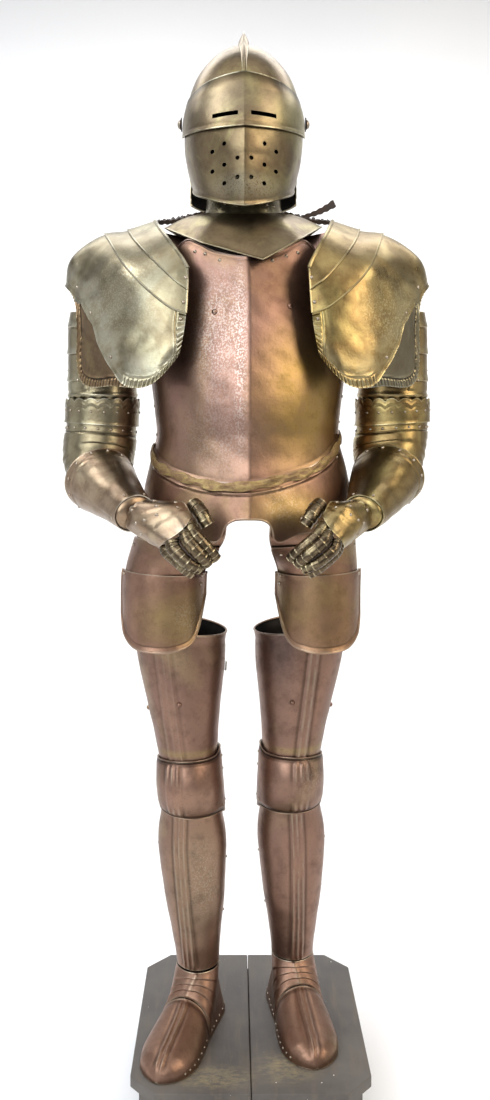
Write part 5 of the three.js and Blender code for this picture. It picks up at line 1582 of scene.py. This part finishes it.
SWEEP = {"wide": 5.0, "front": -4.0, "back": 2.6, "bend": 1.2, "tall": 4.5}
profile = [(SWEEP["front"], 0.0), (SWEEP["back"] - SWEEP["bend"], 0.0)]
profile += [(SWEEP["back"] - SWEEP["bend"] + SWEEP["bend"] * math.sin(a), SWEEP["bend"] * (1 - math.cos(a)))
            for a in np.linspace(0.1, math.pi / 2, 14)]
profile += [(SWEEP["back"], SWEEP["tall"])]
points = [(x, y, z - 0.0005) for y, z in profile for x in (-SWEEP["wide"], SWEEP["wide"])]
quads = [[2 * k, 2 * k + 1, 2 * k + 3, 2 * k + 2] for k in range(len(profile) - 1)]
mesh = bpy.data.meshes.new("backdrop")
mesh.from_pydata(points, [], quads)
mesh.materials.append(pale_paper())
mesh.shade_smooth()
backdrop = bpy.data.objects.new("backdrop", mesh)
bpy.context.scene.collection.objects.link(backdrop)


def soft_light(name, place, aim, wide, tall, power, colour):
    data = bpy.data.lights.new(name, "AREA")
    data.shape, data.size, data.size_y = "RECTANGLE", wide, tall
    data.energy, data.color = power, colour
    made = bpy.data.objects.new(name, data)
    made.location = place
    direction = Vector(aim) - Vector(place)
    made.rotation_euler = direction.to_track_quat("-Z", "Y").to_euler()
    bpy.context.scene.collection.objects.link(made)


soft_light("window_left", (-1.8, -2.6, 2.2), (0, 0, 1.2), 1.8, 2.6, 50, (0.90, 0.96, 1.0))
soft_light("lamp_right", (2.2, -1.7, 2.2), (0, 0, 1.3), 1.2, 1.7, 36, (1.0, 0.87, 0.68))
soft_light("room_front", (-0.7, -3.4, 2.1), (0, 0, 1.0), 2.6, 2.0, 40, (1.0, 0.98, 0.95))
soft_light("overhead", (0.0, -0.9, 3.5), (0, 0.0, 1.0), 3.0, 2.0, 26, (1.0, 0.98, 0.95))
soft_light("high_left", (-2.0, -0.7, 3.2), (-0.2, 0, 1.4), 1.0, 1.0, 26, (0.94, 0.97, 1.0))
soft_light("high_right", (2.0, -0.7, 3.0), (0.2, 0, 1.4), 0.8, 0.8, 14, (1.0, 0.90, 0.72))
soft_light("side_left", (-3.2, 0.0, 1.3), (0, 0, 1.2), 2.4, 2.6, 15, (0.96, 0.98, 1.0))
soft_light("side_right", (3.2, 0.0, 1.3), (0, 0, 1.2), 2.4, 2.6, 12, (1.0, 0.94, 0.84))
soft_light("backdrop_wash", (0.0, 0.9, 2.9), (0, 1.5, -0.2), 3.4, 1.0, 44, (1.0, 1.0, 1.0))

world = bpy.data.worlds.new("room")
world.use_nodes = True
bpy.context.scene.world = world
world.node_tree.nodes["Background"].inputs["Color"].default_value = rgb(190, 190, 194)
world.node_tree.nodes["Background"].inputs["Strength"].default_value = 0.40
bpy.context.scene.view_settings.view_transform = "Standard"

CAMERA = {"place": (-0.024, -1.75, 1.230), "lens": 30.63, "shift": (0.011, -0.111)}
data = bpy.data.cameras.new("camera")
data.lens = CAMERA["lens"]
data.sensor_width = 36
data.shift_x, data.shift_y = CAMERA["shift"]
camera = bpy.data.objects.new("camera", data)
camera.location = CAMERA["place"]
camera.rotation_euler = (math.pi / 2, 0, 0)
bpy.context.scene.collection.objects.link(camera)
bpy.context.scene.camera = camera
